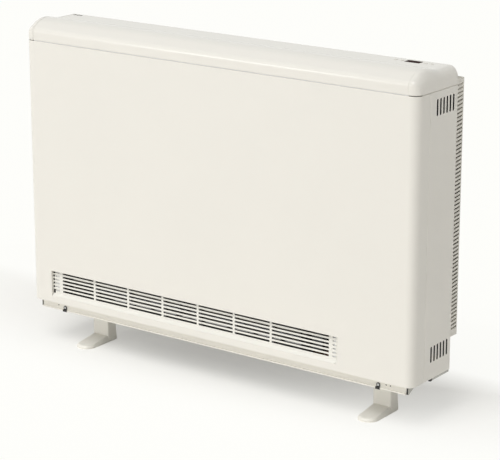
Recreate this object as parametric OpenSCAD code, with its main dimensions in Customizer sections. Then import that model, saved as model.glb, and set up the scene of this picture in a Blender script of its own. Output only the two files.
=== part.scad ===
// Fan-assisted storage heater: a slim sheet-steel casing round an insulated core of heavy bricks.
// Mains elements heat the bricks, a cross-flow fan draws air over them and out of the front grille.
// The origin is on the floor under the middle of the whole heater. +X is the right end seen from
// the front, -Y is the front and +Z is up. Sizes are millimetres.
// The casing is sized round its contents: brick columns and rows, insulation and the end bays.

/* [Storage core] */
// Number of brick columns side by side
brick_columns = 3; // [2:1:4]
// Number of brick rows on top of each other
brick_rows = 4; // [3:1:5]
// Width of one brick
brick_w = 240; // [220:1:260]
// Depth of one brick, two stand back to back
brick_d = 42.7; // [38:0.1:50]
// Height of one brick
brick_h = 105; // [96:1:115]
// Joint between neighbouring columns
column_joint = 2; // [1:0.5:4]
// Joint between the front and the rear bricks
brick_joint = 0.6; // [0.4:0.1:2]
// Joint between rows
row_joint = 0.5; // [0:0.1:1.5]
// Thickness of the front and rear insulation boards
wall_board = 22; // [18:1:30]
// Thickness of the end insulation boards
end_board = 35; // [32:1:45]
// Thickness of the base insulation board
base_board = 22; // [16:1:30]
// Thickness of the top insulation board
top_board = 26; // [18:1:35]

/* [Heating elements] */
// Radius of the sheathed element tube
element_r = 4.25; // [3.5:0.05:5]
// Clearance of the tube in its groove
element_fit = 0.3; // [0.2:0.05:0.8]
// Height between the two legs of one hairpin
element_span = 44; // [36:1:50]
// Length of the cold ends beyond the partition
element_tail = 16; // [12:1:24]
// Radius of the ceramic bushes where the legs leave the core
bush_r = 8; // [7:0.5:10]
// Radius of the terminal studs
stud_r = 2; // [1.5:0.1:2.5]
// Length of the terminal studs
stud_len = 12; // [9:1:18]
// Width of the brass links between terminals
link_w = 12; // [9:0.5:14]
// Thickness of the brass links
link_t = 1.5; // [1:0.1:2]

/* [Casing] */
// Thickness of the sheet steel
sheet_t = 1.2; // [0.8:0.1:1.5]
// Radius of the front panel's upright edges
edge_r = 18.5; // [14:0.5:22]
// Depth of the side returns of the front panel
return_d = 46; // [40:1:56]
// Width of the folded flanges inside the casing
flange_w = 10; // [8:0.5:12]
// Gap between neighbouring panels
panel_gap = 0.4; // [0.2:0.1:0.8]
// Dark gap between the panels and the top cover
seam_gap = 2; // [1:0.5:4]
// Air gap between the front panel and the core
front_air = 8.8; // [6:0.2:14]
// Air gap between the core and the back panel
rear_air = 4.8; // [3:0.2:10]
// Air gap between the left side panel and the core
left_air = 31.8; // [26:0.2:45]
// Width of the electrical bay at the right end
bay_w = 161.8; // [150:0.2:190]
// Height of the fan bay under the core
fan_bay_h = 100; // [96:1:120]
// Air space between the core and the top of the panels
top_air = 17.8; // [12:0.2:30]

/* [Base] */
// Height of the base rail's underside above the floor
foot_h = 82; // [70:1:100]
// Visible height of the base rail under the front panel
rail_h = 18.5; // [14:0.5:24]
// Set-back of the base rail behind the front panel
rail_set = 12.4; // [11:0.2:16]
// Distance from the casing's end to the rail's end
rail_end = 19.5; // [16:0.5:30]
// Height of the rail's folded lower lip
lip_h = 2.4; // [1.5:0.1:4]
// How far the lower lip stands forward of the rail
lip_out = 3; // [1.5:0.5:5]
// How far the base tray shows under the side panels
tray_drop = 5; // [3:0.5:8]
// Height of the tray's front wall
tray_wall_h = 20; // [16:1:22]
// Width of the tray's tabs that take the panel screws
screw_tab_w = 24; // [16:1:30]
// Gap between the rail's end and the gusset beside it, closed by a black plug
gusset_gap = 4; // [3:0.5:6]
// Depth of the gusset from front to back
gusset_d = 27; // [20:1:32]
// Distance from the front face to where the tray widens to the side panels
tray_step = 80; // [76:1:84]
// Rows of slots in the tray's air intake
intake_rows = 4; // [3:1:4]
// Width of the slots in the tray's air intake
intake_slot = 5; // [3:0.5:6]
// Length of the slots in the tray's air intake
intake_len = 60; // [40:1:64]

/* [Feet] */
// Distance from the casing's end to the middle of a foot
foot_end = 121.7; // [110:0.1:160]
// Width of a foot
foot_w = 45.4; // [38:0.2:52]
// Distance from the casing's front face to the front of the leg
leg_set = 86.6; // [80:0.2:92]
// Depth of the leg at its top
leg_top_d = 20.7; // [18:0.1:26]
// Depth of the leg at the floor
leg_foot_d = 32; // [28:0.5:38]
// Length of the toe in front of the leg
toe_len = 71; // [60:1:80]
// Height of the toe where it meets the leg
toe_h = 15.5; // [12:0.5:20]
// Height of the toe's tip
toe_tip_h = 7.5; // [5:0.5:10]
// Thickness of the foot's mounting flange
foot_flange_t = 4; // [3:0.5:6]
// Depth of the foot's mounting flange
foot_flange_d = 62; // [56:1:70]
// Distance between the two screws of a foot
foot_screw_pitch = 42; // [36:1:46]
// Radius of a foot screw's shank
foot_screw_r = 2.5; // [2:0.1:3]

/* [Front panel fasteners] */
// Distance from the casing's end to a panel screw
screw_end = 84; // [70:1:100]
// Height of a panel screw above the rail's underside
screw_up = 7.5; // [7:0.5:9]
// Radius of a panel screw's head
screw_head_r = 4.2; // [3:0.1:5]
// Radius of a panel screw's shank
screw_r = 2; // [1.5:0.1:2.5]
// Radius of the small spare holes in the rail
rail_hole_r = 1.5; // [1:0.1:2]

/* [Outlet grille] */
// Distance from the front panel's lower edge to the opening
grille_up = 15.5; // [10.5:0.5:22.5]
// Height of the grille's recess, whose upper end lies behind the front sheet
grille_h = 67.5; // [63.5:0.5:76]
// How far the front sheet hangs down over the grille's recess
top_lip = 10; // [6:0.5:13]
// Distance from the core's left end to the opening
grille_left = 23; // [15:1:35]
// Distance from the opening to the core's right end
grille_right = 13; // [6:1:40]
// Number of slots above each other
slot_rows = 6; // [4:1:7]
// Distance between slots
slot_pitch = 8.2; // [7:0.1:8.5]
// Height of a slot
slot_h = 4.1; // [3:0.1:4.6]
// Lowest slot above the opening's lower edge
slot_up = 10.6; // [8:0.1:12]
// Width of one section of slots
section_w = 94.4; // [80:0.2:110]
// Number of equal sections, one more takes what is left of the width
section_count = 6; // [4:1:7]
// Width of the upright dividers between sections
divider_w = 5.5; // [4:0.5:8]
// Blank end of the grille left of its first slot
grille_blank = 24.6; // [20:0.2:32]
// Blank end of the grille right of its last slot
grille_tail = 20.8; // [14:0.1:26]
// Margin round the short ribs in the grille's blank ends
rib_margin = 4; // [3:0.5:6]
// Width of the small gaps at both ends of the grille's face
end_gap_w = 3.4; // [2:0.2:5]
// Width of the rim that holds the grille behind the front sheet
grille_rim = 4; // [3:0.5:6]
// Wall of the grille's frame
grille_t = 2; // [1.6:0.1:2.4]
// Depth of the grille behind its face
grille_d = 7; // [5.5:0.5:9]
// How far the grille's face sits behind the panel's face
grille_set = 6.4; // [5:0.2:8]
// How far the sloping sill rises from the opening's lower edge to the grille's face
sill_rise = 5.5; // [4:0.5:7]
// Slope of the louvre blades
blade_tilt = 28; // [15:1:40]

/* [Side vents] */
// Number of slots in each group
vent_count = 6; // [4:1:7]
// Distance between vent slots
vent_pitch = 12; // [9:0.5:13]
// Width of a vent slot
vent_w = 5.5; // [3:0.5:6.5]
// Height of a vent slot
vent_h = 33.5; // [25:0.5:45]
// Distance from the front face to the first vent slot
vent_set = 72; // [66:1:76]
// Distance from the panel's top edge to the upper group
vent_top = 15; // [14:1:30]
// Distance from the panel's lower edge to the lower group
vent_low = 35.5; // [25:0.5:50]

/* [Top cover] */
// Wall of the cover and its end caps
cover_t = 2.2; // [1.6:0.1:3]
// Upright front band of the cover
nose_rise = 16.6; // [14:0.2:20]
// Radius of the nose
nose_r = 14; // [10:0.5:15]
// Slope of the cover behind the nose
nose_slope = 33; // [28:1:36]
// Height of the crest above the cover's lower edge
crest_h = 43.9; // [42:0.1:48]
// Radius of the crest
crest_r = 54; // [44:1:56]
// Height of the rear deck above the cover's lower edge
deck_h = 36.2; // [34:0.1:37.5]
// Slope from the crest down to the rear deck
deck_slope = 12; // [9:0.5:14]
// Width of a moulded end cap
cap_w = 22.7; // [20:0.1:30]
// Height by which the end cap rounds down at its end
cap_drop = 22; // [16:0.5:24]
// Set-back of the inner lip that stands on the panels
cover_lip_set = 1.8; // [1.2:0.1:2]
// Thickness of the inner lip
cover_lip_t = 2.4; // [1.6:0.1:3]

/* [Controls] */
// Distance from the casing's right end to the middle of the display
display_end = 88; // [80:1:110]
// Distance from the back panel to the middle of the display
display_back = 20.5; // [18:0.5:26]
// Width of the display window
display_w = 34; // [28:0.5:36]
// Depth of the display window
display_d = 18.5; // [14:0.5:22]
// Clearance round the display window and the buttons
control_fit = 0.3; // [0.2:0.05:0.5]
// Radius of a push-button
button_r = 4; // [3.5:0.1:4.5]
// Distance between neighbouring buttons
button_pitch = 14; // [12:0.5:16]
// Distance from the display's middle to the nearest button
button_off = 27; // [25:0.5:30]
// Travel of a push-button
button_travel = 1.2; // [0.8:0.1:1.6]
// Height by which a button stands above the deck
button_proud = 0.5; // [0.2:0.1:1]
// Height of the collar that keeps a button in
button_collar = 1; // [0.8:0.1:1.4]
// Length of a button's stem under its collar
stem_len = 4.3; // [3.5:0.1:6]
// Radius of a button's stem
stem_r = 1.8; // [1.4:0.1:2.2]
// Height of a switch on the display board
switch_h = 3.5; // [2.5:0.1:4.5]
// Thickness of the circuit boards
board_t = 1.6; // [1.2:0.1:2]
// Distance from the casing's left end to the sensor vent
sensor_end = 37; // [34:0.5:60]
// Number of slots in the sensor vent
sensor_slots = 3; // [2:1:3]
// Distance between sensor slots
sensor_pitch = 8.5; // [7:0.5:10]
// Width of a sensor slot
sensor_slot_w = 4.6; // [3:0.2:5]
// Length of a sensor slot
sensor_slot_len = 9; // [7:0.5:14]
// Distance from the back panel to the middle of the sensor vent
sensor_back = 13; // [11:0.5:20]

/* [Fan] */
// Distance from the front face to the scroll of the fan
duct_d = 28; // [26:0.5:34]
// Inner radius of the scroll
scroll_r = 34; // [32:0.5:36]
// Height of the fan axis above the opening's lower edge
fan_up = 26; // [23.5:0.5:29.5]
// Radius of the impeller
impeller_r = 26; // [22:0.5:28]
// Number of blades
blade_count = 20; // [16:1:28]
// Depth of a blade, measured along the radius
blade_d = 7; // [5:0.5:9]
// Thickness of a blade
blade_t = 0.8; // [0.5:0.1:1.2]
// Number of stages between the stiffening discs
stage_count = 4; // [3:1:6]
// Thickness of a stiffening disc
disc_t = 1.5; // [1:0.1:2]
// Distance from the grille opening's left end to the impeller
fan_left = 45; // [39:1:65]
// Room for the motor at the right end of the opening
motor_room = 103; // [96:1:130]
// Distance between the impeller's ends and the housing's end plates
fan_end_gap = 6; // [4:0.5:9]
// Radius of the fan shaft
shaft_r = 3; // [2.5:0.1:4]
// Running clearance of the shaft in its bearing
shaft_fit = 0.05; // [0.02:0.01:0.09]
// Outer radius of the bearing
bearing_r = 8; // [6:0.5:10]
// Length of the bearing
bearing_len = 10; // [8:0.5:14]
// Radius of the motor's rotor
rotor_r = 12; // [10:0.5:14]
// Air gap between the rotor and the stator
rotor_gap = 0.4; // [0.3:0.05:0.8]
// Length of the motor's lamination stack
stack_len = 25; // [18:1:30]
// Width of the motor's lamination stack
stack_w = 58; // [52:1:62]
// Height of the motor's lamination stack
stack_h = 44; // [40:1:50]

/* [Booster] */
// Radius of the booster's tube
boost_r = 3.2; // [2.8:0.1:4]
// Height between the booster's two legs
boost_span = 20; // [16:1:26]
// Distance from the scroll's front to the booster
boost_back = 9; // [7:0.5:10]
// Width of the hangers that carry the booster
hanger_w = 12; // [10:0.5:14]

/* [Damper] */
// Distance from the back panel to the damper's hinge line
damper_back = 20.8; // [18:0.2:24]
// Width of the damper flap
flap_w = 24; // [20:0.5:27]
// Thickness of the damper flap
flap_t = 1.2; // [0.8:0.1:2]
// Radius of the damper's spindle
spindle_r = 2.5; // [2:0.1:3]
// Wall of the hinge lugs round the spindle
lug_wall = 2; // [1.5:0.1:3]
// Width of one hinge lug
lug_w = 8; // [6:0.5:12]
// Distance from the fan's ends to the ends of the flap
flap_inset = 24; // [18:1:40]
// Width of the damper's slot in the shelf
hot_slot_w = 16; // [12:0.5:18]
// Width of the cold-air slot in the shelf
cold_slot_w = 12; // [8:0.5:16]
// Radius of the damper's motor
damper_motor_r = 18; // [14:0.5:19]
// Length of the damper's motor
damper_motor_len = 18; // [16:1:26]
// Distance from the partition to the damper's motor
damper_motor_off = 6; // [4:0.5:10]

/* [Rear guard] */
// Distance that the guard keeps from the wall to the back panel
guard_d = 30; // [25:0.5:40]
// Height of the guard's upper edge above the panels' upper edge
guard_up = 10.2; // [0:0.2:25]
// Height of the guard
guard_h = 528; // [480:1:575]
// Distance from the casing's end to the guard's end
guard_end = 2; // [1:0.5:6]
// Thickness of the guard's sheet
guard_t = 1; // [0.8:0.1:1.5]
// Distance between slots in the guard's ends
guard_pitch = 8.05; // [7:0.05:10]
// Height of a slot in the guard's ends
guard_slot_h = 3.8; // [2.5:0.1:5]
// Length of a slot in the guard's ends
guard_slot_len = 21; // [14:0.5:22]
// Tilt of the slots in the guard's ends
guard_slot_tilt = 6; // [0:1:10]
// Distance between the two wall-fixing holes
wall_hole_pitch = 600; // [500:10:700]
// Radius of the wall-fixing holes
wall_hole_r = 4; // [3:0.5:5]
// Distance from the guard's top edge to the wall-fixing holes
wall_hole_down = 40; // [30:1:60]
// Width of the guard's fixing tabs on the back panel
tab_w = 24; // [20:1:30]
// Height of the guard's fixing tabs
tab_h = 20; // [14:1:30]
// Distance from the guard's ends to its fixing tabs
tab_in = 60; // [40:1:100]
// Distance from the panels' ends to the back panel's outer screws
rear_screw_in = 24; // [16:1:40]
// Radius of a rear screw's shank
rear_screw_r = 1.6; // [1.2:0.1:1.8]
// Radius of a rear screw's head
rear_head_r = 2.9; // [2.4:0.1:3]

/* [Electrical bay] */
// Radius of the cable gland's bore
gland_r = 5; // [4:0.5:6]
// Outer radius of the cable gland
gland_outer_r = 10; // [8:0.5:12]
// Length of the cable gland behind the back panel
gland_len = 16; // [12:1:22]
// Distance from the casing's right end to the gland
gland_end = 60; // [50:1:90]
// Height of the gland above the back panel's lower edge
gland_up = 36; // [28:1:48]
// Travel of the cut-out's reset button
reset_travel = 2; // [1:0.5:3]
// Radius of the cut-out's reset button
reset_r = 3; // [2.5:0.5:4]
// Width of the core's cut-out
cutout_w = 30; // [24:1:34]
// Height of the core's cut-out
cutout_h = 28; // [22:1:34]
// Depth of the core's cut-out in front of the partition
cutout_d = 22; // [20:1:26]
// Distance from the partition to the power board
board_off = 12; // [8:1:16]
// Space between the power board and the cut-out above it
board_gap = 11; // [6:1:20]
// Space between the core's base and the power board
board_up = 6; // [4:1:20]
// Distance from the tray's front wall to the power board
board_set = 14; // [10:1:20]
// Distance from the board's edge to its fixing holes
board_edge = 5; // [4:0.5:7]
// Number of relays and supply blocks on the board
relay_count = 4; // [3:1:4]
// Width of a relay
relay_w = 20; // [15:0.5:24]
// Length of a relay
relay_len = 30; // [24:1:34]
// Height of a relay above the board
relay_h = 15.5; // [10:0.5:20]

/* [Hidden] */
$fn = 64;
// A cut runs this far past the face it opens
over = 1;
// A piece joined to its own other parts runs this far into them
bite = 0.5;

// Widths, from the core outwards
bricks_w = brick_columns * brick_w + (brick_columns - 1) * column_joint;
core_w = bricks_w + 2 * end_board;
body_w = 2 * sheet_t + left_air + core_w + bay_w;
half_w = body_w / 2;
in_x = half_w - sheet_t;
core_x0 = -in_x + left_air;
core_x1 = core_x0 + core_w;
bricks_x0 = core_x0 + end_board;
bricks_x1 = core_x1 - end_board;

// Depths, from the front face to the wall
bricks_d = 2 * brick_d + brick_joint;
core_d = bricks_d + 2 * wall_board;
body_d = 2 * sheet_t + front_air + core_d + rear_air;
front_y = -(body_d + guard_d) / 2;
back_y = front_y + body_d;
wall_y = back_y + guard_d;
in_y0 = front_y + sheet_t;
in_y1 = back_y - sheet_t;
seam_y = front_y + return_d;
core_y0 = in_y0 + front_air;
core_y1 = core_y0 + core_d;
bricks_y0 = core_y0 + wall_board;
bricks_y1 = core_y1 - wall_board;
mid_y = (bricks_y0 + bricks_y1) / 2;

// Heights, from the floor up
rail_z0 = foot_h;
panel_z0 = rail_z0 + rail_h;
tray_z0 = panel_z0 - tray_drop;
tray_z1 = tray_z0 + sheet_t;
shelf_t = 1.5;
shelf_z0 = tray_z1 + fan_bay_h;
shelf_z1 = shelf_z0 + shelf_t;
bricks_z0 = shelf_z1 + base_board;
row_step = brick_h + row_joint;
bricks_z1 = bricks_z0 + brick_rows * row_step - row_joint;
core_z1 = bricks_z1 + top_board;
panel_z1 = core_z1 + top_air;
panel_h = panel_z1 - panel_z0;
cover_z0 = panel_z1 + seam_gap;
deck_z = cover_z0 + deck_h;

// Outlet grille and fan
grille_x0 = core_x0 + grille_left;
grille_x1 = core_x1 - grille_right;
grille_z0 = panel_z0 + grille_up;
grille_z1 = grille_z0 + grille_h;
opening_z1 = grille_z1 - top_lip;
grille_y0 = front_y + grille_set;
grille_fit = 0.3;
fan_y = front_y + duct_d + scroll_r;
fan_z = grille_z0 + fan_up;
fan_x0 = grille_x0 + fan_left;
fan_x1 = grille_x1 - motor_room;
duct_t = 1;
duct_z0 = grille_z0 + 5;
plate_x0 = fan_x0 - fan_end_gap;
plate_x1 = fan_x1 + fan_end_gap;
stack_x0 = plate_x1 + duct_t + 14;
boost_y = front_y + duct_d - boost_back;
boost_z = fan_z + 6;
tray_y0 = front_y + rail_set + sheet_t;

// Damper
damper_y = back_y - damper_back;
damper_drop = spindle_r + lug_wall + 0.6;
damper_z = shelf_z0 - damper_drop;
flap_x0 = fan_x0 + flap_inset;
flap_x1 = fan_x1 - flap_inset;
spindle_fit = 0.05;
hot_slot_y0 = damper_y - flap_w + 4;
cold_slot_y0 = bricks_y0 + 2;

// Controls
display_x = half_w - display_end;
display_y = back_y - display_back;
button_x = [display_x - button_off - button_pitch, display_x - button_off,
            display_x + button_off, display_x + button_off + button_pitch];
button_hole_r = button_r + control_fit;
collar_r = button_r + 1.6;
collar_z1 = deck_z - cover_t - 0.2;
stem_z0 = collar_z1 - button_collar - stem_len;
switch_z1 = stem_z0 - button_travel - 0.1;
board_z1 = switch_z1 - switch_h;
sensor_x = -half_w + sensor_end;
sensor_y = back_y - sensor_back;

// Electrical bay
partition_x1 = core_x1 + sheet_t;
gland_x = half_w - gland_end;
gland_z = tray_z0 + gland_up;
block_y0 = in_y1 - 40;
reset_x0 = partition_x1 + cutout_d + 4;
cutout_z = bricks_z0 + row_step * 2;
cutout_y = mid_y - 34;

// A block between two opposite corners
module block(low, high) {
    translate(low) cube(high - low);
}

// A round bar along X, from one end to the other
module bar_x(x0, x1, y, z, r) {
    translate([x0, y, z]) rotate([0, 90, 0]) cylinder(r = r, h = x1 - x0);
}

// A round bar along Y, from one end to the other
module bar_y(x, y0, y1, z, r) {
    translate([x, y0, z]) rotate([-90, 0, 0]) cylinder(r = r, h = y1 - y0);
}

// Points along an arc, counted from the first angle to the last
function arc(centre, r, a0, a1, steps) =
    [for (i = [0:steps]) centre + r * [cos(a0 + (a1 - a0) * i / steps), sin(a0 + (a1 - a0) * i / steps)]];

// ---------------------------------------------------------------- casing

// Plan of the front panel, drawn in by a distance on its three outer sides
module front_plan(inset, y_end) {
    r = max(edge_r - inset, 0.5);
    x = half_w - inset;
    y = front_y + inset;
    translate([-x, y + r]) square([2 * x, y_end - y - r]);
    translate([-x + r, y]) square([2 * (x - r), y_end - y]);
    for (side = [-1, 1]) translate([side * (x - r), y + r]) circle(r = r);
}

// Band of the front panel's plan, as wide as a flange or as the sheet
module front_band(width) {
    difference() {
        front_plan(0, seam_y);
        front_plan(width, seam_y + over);
    }
}

// Wrap-round front sheet with folded flanges and the opening for the grille.
// Its lower flange rests against the base rail.
module front_panel() {
    color("#ebe8df")
    difference() {
        union() {
            translate([0, 0, panel_z0]) linear_extrude(panel_h) front_band(sheet_t);
            translate([0, 0, panel_z0]) linear_extrude(sheet_t) front_band(rail_set);
            translate([0, 0, panel_z1 - sheet_t]) linear_extrude(sheet_t) front_band(flange_w);
            for (side = [0, 1]) mirror([side, 0, 0])
                block([half_w - flange_w, seam_y - sheet_t, panel_z0], [half_w - bite, seam_y, panel_z1]);
        }
        block([grille_x0, front_y - over, grille_z0], [grille_x1, in_y0 + over, opening_z1]);
    }
}

// One group of upright vent slots
module vent_slots(z0) {
    for (i = [0:vent_count - 1]) {
        y = front_y + vent_set + i * vent_pitch;
        block([in_x - over, y - vent_w / 2, z0], [half_w + over, y + vent_w / 2, z0 + vent_h]);
    }
}

// Side sheet behind the front panel's return, with two groups of vent slots
module side_panel() {
    y0 = seam_y + panel_gap;
    difference() {
        union() {
            block([in_x, y0, panel_z0], [half_w, back_y, panel_z1]);
            block([half_w - flange_w, y0, panel_z0], [half_w - bite, y0 + sheet_t, panel_z1]);
            block([half_w - flange_w, in_y1 - sheet_t, panel_z0], [half_w - bite, in_y1, panel_z1]);
            block([half_w - flange_w, y0, panel_z0], [half_w - bite, in_y1, panel_z0 + sheet_t]);
            block([half_w - flange_w, y0, panel_z1 - sheet_t], [half_w - bite, in_y1, panel_z1]);
        }
        vent_slots(panel_z1 - vent_top - vent_h);
        vent_slots(panel_z0 + vent_low);
        rear_screw_holes();
    }
}

module left_side_panel() {
    color("#c9c7bd") mirror([1, 0, 0]) side_panel();
}

module right_side_panel() {
    color("#c0beb2") side_panel();
}

// Heights of the back panel's screws, and the holes for them in the right-hand flange
rear_screw_zs = [panel_z0 + rear_screw_in, (panel_z0 + panel_z1) / 2, panel_z1 - rear_screw_in];
rear_screw_x = half_w - sheet_t - flange_w / 2;
rear_hole_r = rear_screw_r + 0.15;

module rear_screw_holes() {
    for (z = rear_screw_zs) bar_y(rear_screw_x, in_y1 - sheet_t - over, back_y + over, z, rear_hole_r);
}

// Positions of the guard's screws on the back panel
guard_z1 = panel_z1 + guard_up;
guard_z0 = guard_z1 - guard_h;
guard_x = half_w - guard_end;
tab_x = guard_x - guard_t - tab_w / 2;
tab_zs = [guard_z0 + tab_in, guard_z1 - tab_in];

// Flat back sheet between the side panels
module back_panel() {
    x = in_x - panel_gap;
    color("#bdbab0")
    difference() {
        union() {
            block([-x, in_y1, tray_z0], [x, back_y, panel_z1]);
            block([-x + flange_w, in_y1 - flange_w, panel_z1 - sheet_t],
                  [x - flange_w, in_y1 + bite, panel_z1]);
        }
        for (side = [0, 1]) mirror([side, 0, 0]) rear_screw_holes();
        for (side = [-1, 1], z = tab_zs)
            bar_y(side * tab_x, in_y1 - over, back_y + over, z, rear_hole_r);
        bar_y(gland_x, in_y1 - over, back_y + over, gland_z, gland_outer_r - 2);
    }
}

// Slots of the air intake, as many in a row as fit under the damper
intake_step = intake_len + 2 * intake_slot;
intake_count = floor((flap_x1 - flap_x0) / intake_step);

// Plug and gusset at each end of the rail, seen from its middle outwards
plug_x0 = half_w - rail_end;
gusset_x = plug_x0 + gusset_gap;

// Galvanised tray that carries the core, with the fan's air intake, the holes for the feet,
// two tabs bent down behind the rail for the panel screws and a gusset beside each end of the rail
module base_tray() {
    x = in_x - panel_gap;
    x_front = gusset_x + sheet_t;
    y_step = front_y + tray_step;
    wall_x = half_w - edge_r - panel_gap;
    color("#a9aaa6")
    difference() {
        union() {
            block([-x_front, tray_y0, tray_z0], [x_front, y_step + bite, tray_z1]);
            block([-x, y_step, tray_z0], [x, in_y1, tray_z1]);
            block([-wall_x, tray_y0, tray_z0], [wall_x, tray_y0 + sheet_t, tray_z0 + tray_wall_h]);
            block([-x, in_y1 - sheet_t, tray_z0], [x, in_y1, panel_z0]);
            for (side = [0, 1]) mirror([side, 0, 0]) {
                block([x - sheet_t, y_step, tray_z0], [x, in_y1, panel_z0]);
                translate([gusset_x, tray_y0, 0]) rotate([90, 0, 90]) linear_extrude(sheet_t)
                    polygon([[0, rail_z0], [gusset_d, tray_z0], [gusset_d, tray_z0 + bite],
                             [0, tray_z0 + bite]]);
                block([screw_x - screw_tab_w / 2, tray_y0, rail_z0 + sheet_t + panel_gap],
                      [screw_x + screw_tab_w / 2, tray_y0 + sheet_t, tray_z0 + bite]);
            }
        }
        for (side = [-1, 1])
            bar_y(side * screw_x, tray_y0 - over, tray_y0 + sheet_t + over, screw_z, screw_r + 0.15);
        for (i = [0:intake_count - 1], j = [0:intake_rows - 1]) {
            x0 = flap_x0 + i * intake_step;
            y0 = damper_y - flap_w + j * 2 * intake_slot;
            block([x0, y0, tray_z0 - over], [x0 + intake_len, y0 + intake_slot, tray_z1 + over]);
        }
        for (x0 = foot_screw_xs, y0 = foot_screw_ys)
            translate([x0, y0, tray_z0 - over]) cylinder(r = foot_screw_r, h = sheet_t + 2 * over);
    }
}

// Light grey rail under the front panel, with a folded lower lip that stands forward
module front_base_rail() {
    x = half_w - rail_end;
    y0 = front_y + rail_set;
    top = tray_z0 + tray_wall_h - 2;
    color("#d9d7cd")
    difference() {
        union() {
            block([-x, y0, rail_z0], [x, y0 + sheet_t, top]);
            block([-x, y0 - lip_out, rail_z0], [x, y0 + bite, rail_z0 + lip_h]);
            block([-x, y0 + sheet_t - bite, rail_z0], [x, y0 + 10, rail_z0 + sheet_t]);
        }
        for (side = [-1, 1]) bar_y(side * screw_x, y0 - over, y0 + sheet_t + over, screw_z, screw_r + 0.2);
        for (x_hole = [screw_x + 18, screw_x + 28, -screw_x - 20])
            bar_y(x_hole, y0 - over, y0 + sheet_t + over, screw_z + 4, rail_hole_r);
    }
}

screw_x = half_w - screw_end;
screw_z = rail_z0 + screw_up;

// Round-headed screws that hold the rail to the tray's tabs
module panel_screws() {
    y0 = front_y + rail_set;
    color("#cfd0cc")
    for (side = [-1, 1]) difference() {
        union() {
            bar_y(side * screw_x, y0 - 2, y0, screw_z, screw_head_r);
            bar_y(side * screw_x, y0 - bite, y0 + 9, screw_z, screw_r);
        }
        bar_y(side * screw_x, y0 - 2 - over, y0 - 1, screw_z, screw_head_r - 1.6);
    }
}

// Black spring clips on the rail's lip under the screws, and a black plug at each end of the rail
module panel_clips() {
    y0 = front_y + rail_set - lip_out;
    plug_y0 = front_y + rail_set;
    color("#1c1c1c") {
        for (side = [-1, 1]) difference() {
            block([side * screw_x - 5, y0 - 0.8, rail_z0 - 0.8],
                  [side * screw_x + 5, y0 + lip_out - panel_gap, rail_z0 + lip_h + 0.8]);
            block([side * screw_x - 5 - over, y0 - 0.02, rail_z0 - 0.02],
                  [side * screw_x + 5 + over, y0 + lip_out + over, rail_z0 + lip_h + 0.02]);
        }
        for (side = [0, 1]) mirror([side, 0, 0])
            block([plug_x0 + 0.02, plug_y0 + 1.4, rail_z0 + 0.4],
                  [gusset_x - 0.02, plug_y0 + 8, tray_z0 - 0.02]);
    }
}

// One louvre blade of the grille, its front face upright and its depth sloping down to the back
module louvre(x0, x1, z) {
    land = slot_pitch - slot_h;
    depth = grille_d - grille_t;
    fall = depth * tan(blade_tilt);
    translate([x0, grille_y0, z]) rotate([90, 0, 90]) linear_extrude(x1 - x0)
        polygon([[0, 0], [depth, -fall], [depth, 1.2 - fall], [1.4, land], [0, land]]);
}

slots_x0 = grille_x0 + grille_blank;
slots_x1 = grille_x1 - grille_tail;
slots_z0 = grille_z0 + slot_up;
slots_z1 = slots_z0 + (slot_rows - 1) * slot_pitch + slot_h;

// White louvred grille set back in the front panel's opening, held by a rim behind the sheet.
// Its recess has a sloping sill below and reaches up behind the sheet.
module outlet_grille() {
    x0 = grille_x0 - grille_fit;
    x1 = grille_x1 + grille_fit;
    face_y1 = grille_y0 + grille_t;
    face_z0 = grille_z0 + sill_rise;
    back = grille_y0 + grille_d;
    section_xs = concat([for (i = [0:section_count]) slots_x0 + i * section_w], [slots_x1]);
    color("#e9e6dc") {
        difference() {
            union() {
                translate([x0 - grille_t, 0, 0]) rotate([90, 0, 90]) linear_extrude(x1 - x0 + 2 * grille_t)
                    polygon([[in_y0, grille_z0 - grille_t], [grille_y0, face_z0 - grille_t],
                             [back, face_z0 - grille_t], [back, grille_z1 + grille_t],
                             [in_y0, grille_z1 + grille_t]]);
                block([x0 - grille_rim, in_y0, grille_z0 - grille_rim],
                      [x1 + grille_rim, in_y0 + sheet_t, grille_z1 + grille_rim]);
            }
            translate([x0, 0, 0]) rotate([90, 0, 90]) linear_extrude(x1 - x0)
                polygon([[in_y0 - over, grille_z0], [in_y0, grille_z0], [grille_y0, face_z0],
                         [grille_y0, grille_z1], [in_y0 - over, grille_z1]]);
            block([x0, face_y1, face_z0], [x1, back + over, grille_z1]);
            for (i = [0:section_count])
                block([section_xs[i] + divider_w / 2, grille_y0 - over, slots_z0],
                      [section_xs[i + 1] - divider_w / 2, face_y1 + over, slots_z1]);
            for (ends = [[x0, slots_x0], [slots_x1, x1]], row = [0:slot_rows - 1]) {
                z = slots_z0 + row * slot_pitch;
                block([ends[0] + rib_margin, grille_y0 - over, z],
                      [ends[1] - rib_margin, grille_y0 + grille_t / 2, z + slot_h]);
            }
            for (x = [x0, x1 - end_gap_w], row = [0:slot_rows - 1]) {
                z = slots_z0 + row * slot_pitch;
                block([x, grille_y0 - over, row == 0 ? face_z0 : z], [x + end_gap_w, face_y1 + over, z + slot_h]);
            }
        }
        for (row = [1:slot_rows - 1])
            louvre(slots_x0, slots_x1, slots_z0 + row * slot_pitch - (slot_pitch - slot_h));
        for (x = section_xs)
            block([x - divider_w / 2, grille_y0 + bite, face_z0 - 1],
                  [x + divider_w / 2, back, grille_z1 + 1]);
    }
}

// Side profile of the cover from front to back, its wall drawn in by a distance.
// The first number of a point is the distance from the front face, the second the height.
nose_end = [nose_r * (1 - sin(nose_slope)), nose_rise + nose_r * cos(nose_slope)];
crest_start_h = crest_h - crest_r * (1 - cos(nose_slope));
crest_y = nose_end[0] + (crest_start_h - nose_end[1]) / tan(nose_slope) + crest_r * sin(nose_slope);
deck_fall = crest_h - deck_h - 2 * crest_r * (1 - cos(deck_slope));
deck_y = crest_y + 2 * crest_r * sin(deck_slope) + deck_fall / tan(deck_slope);

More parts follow.
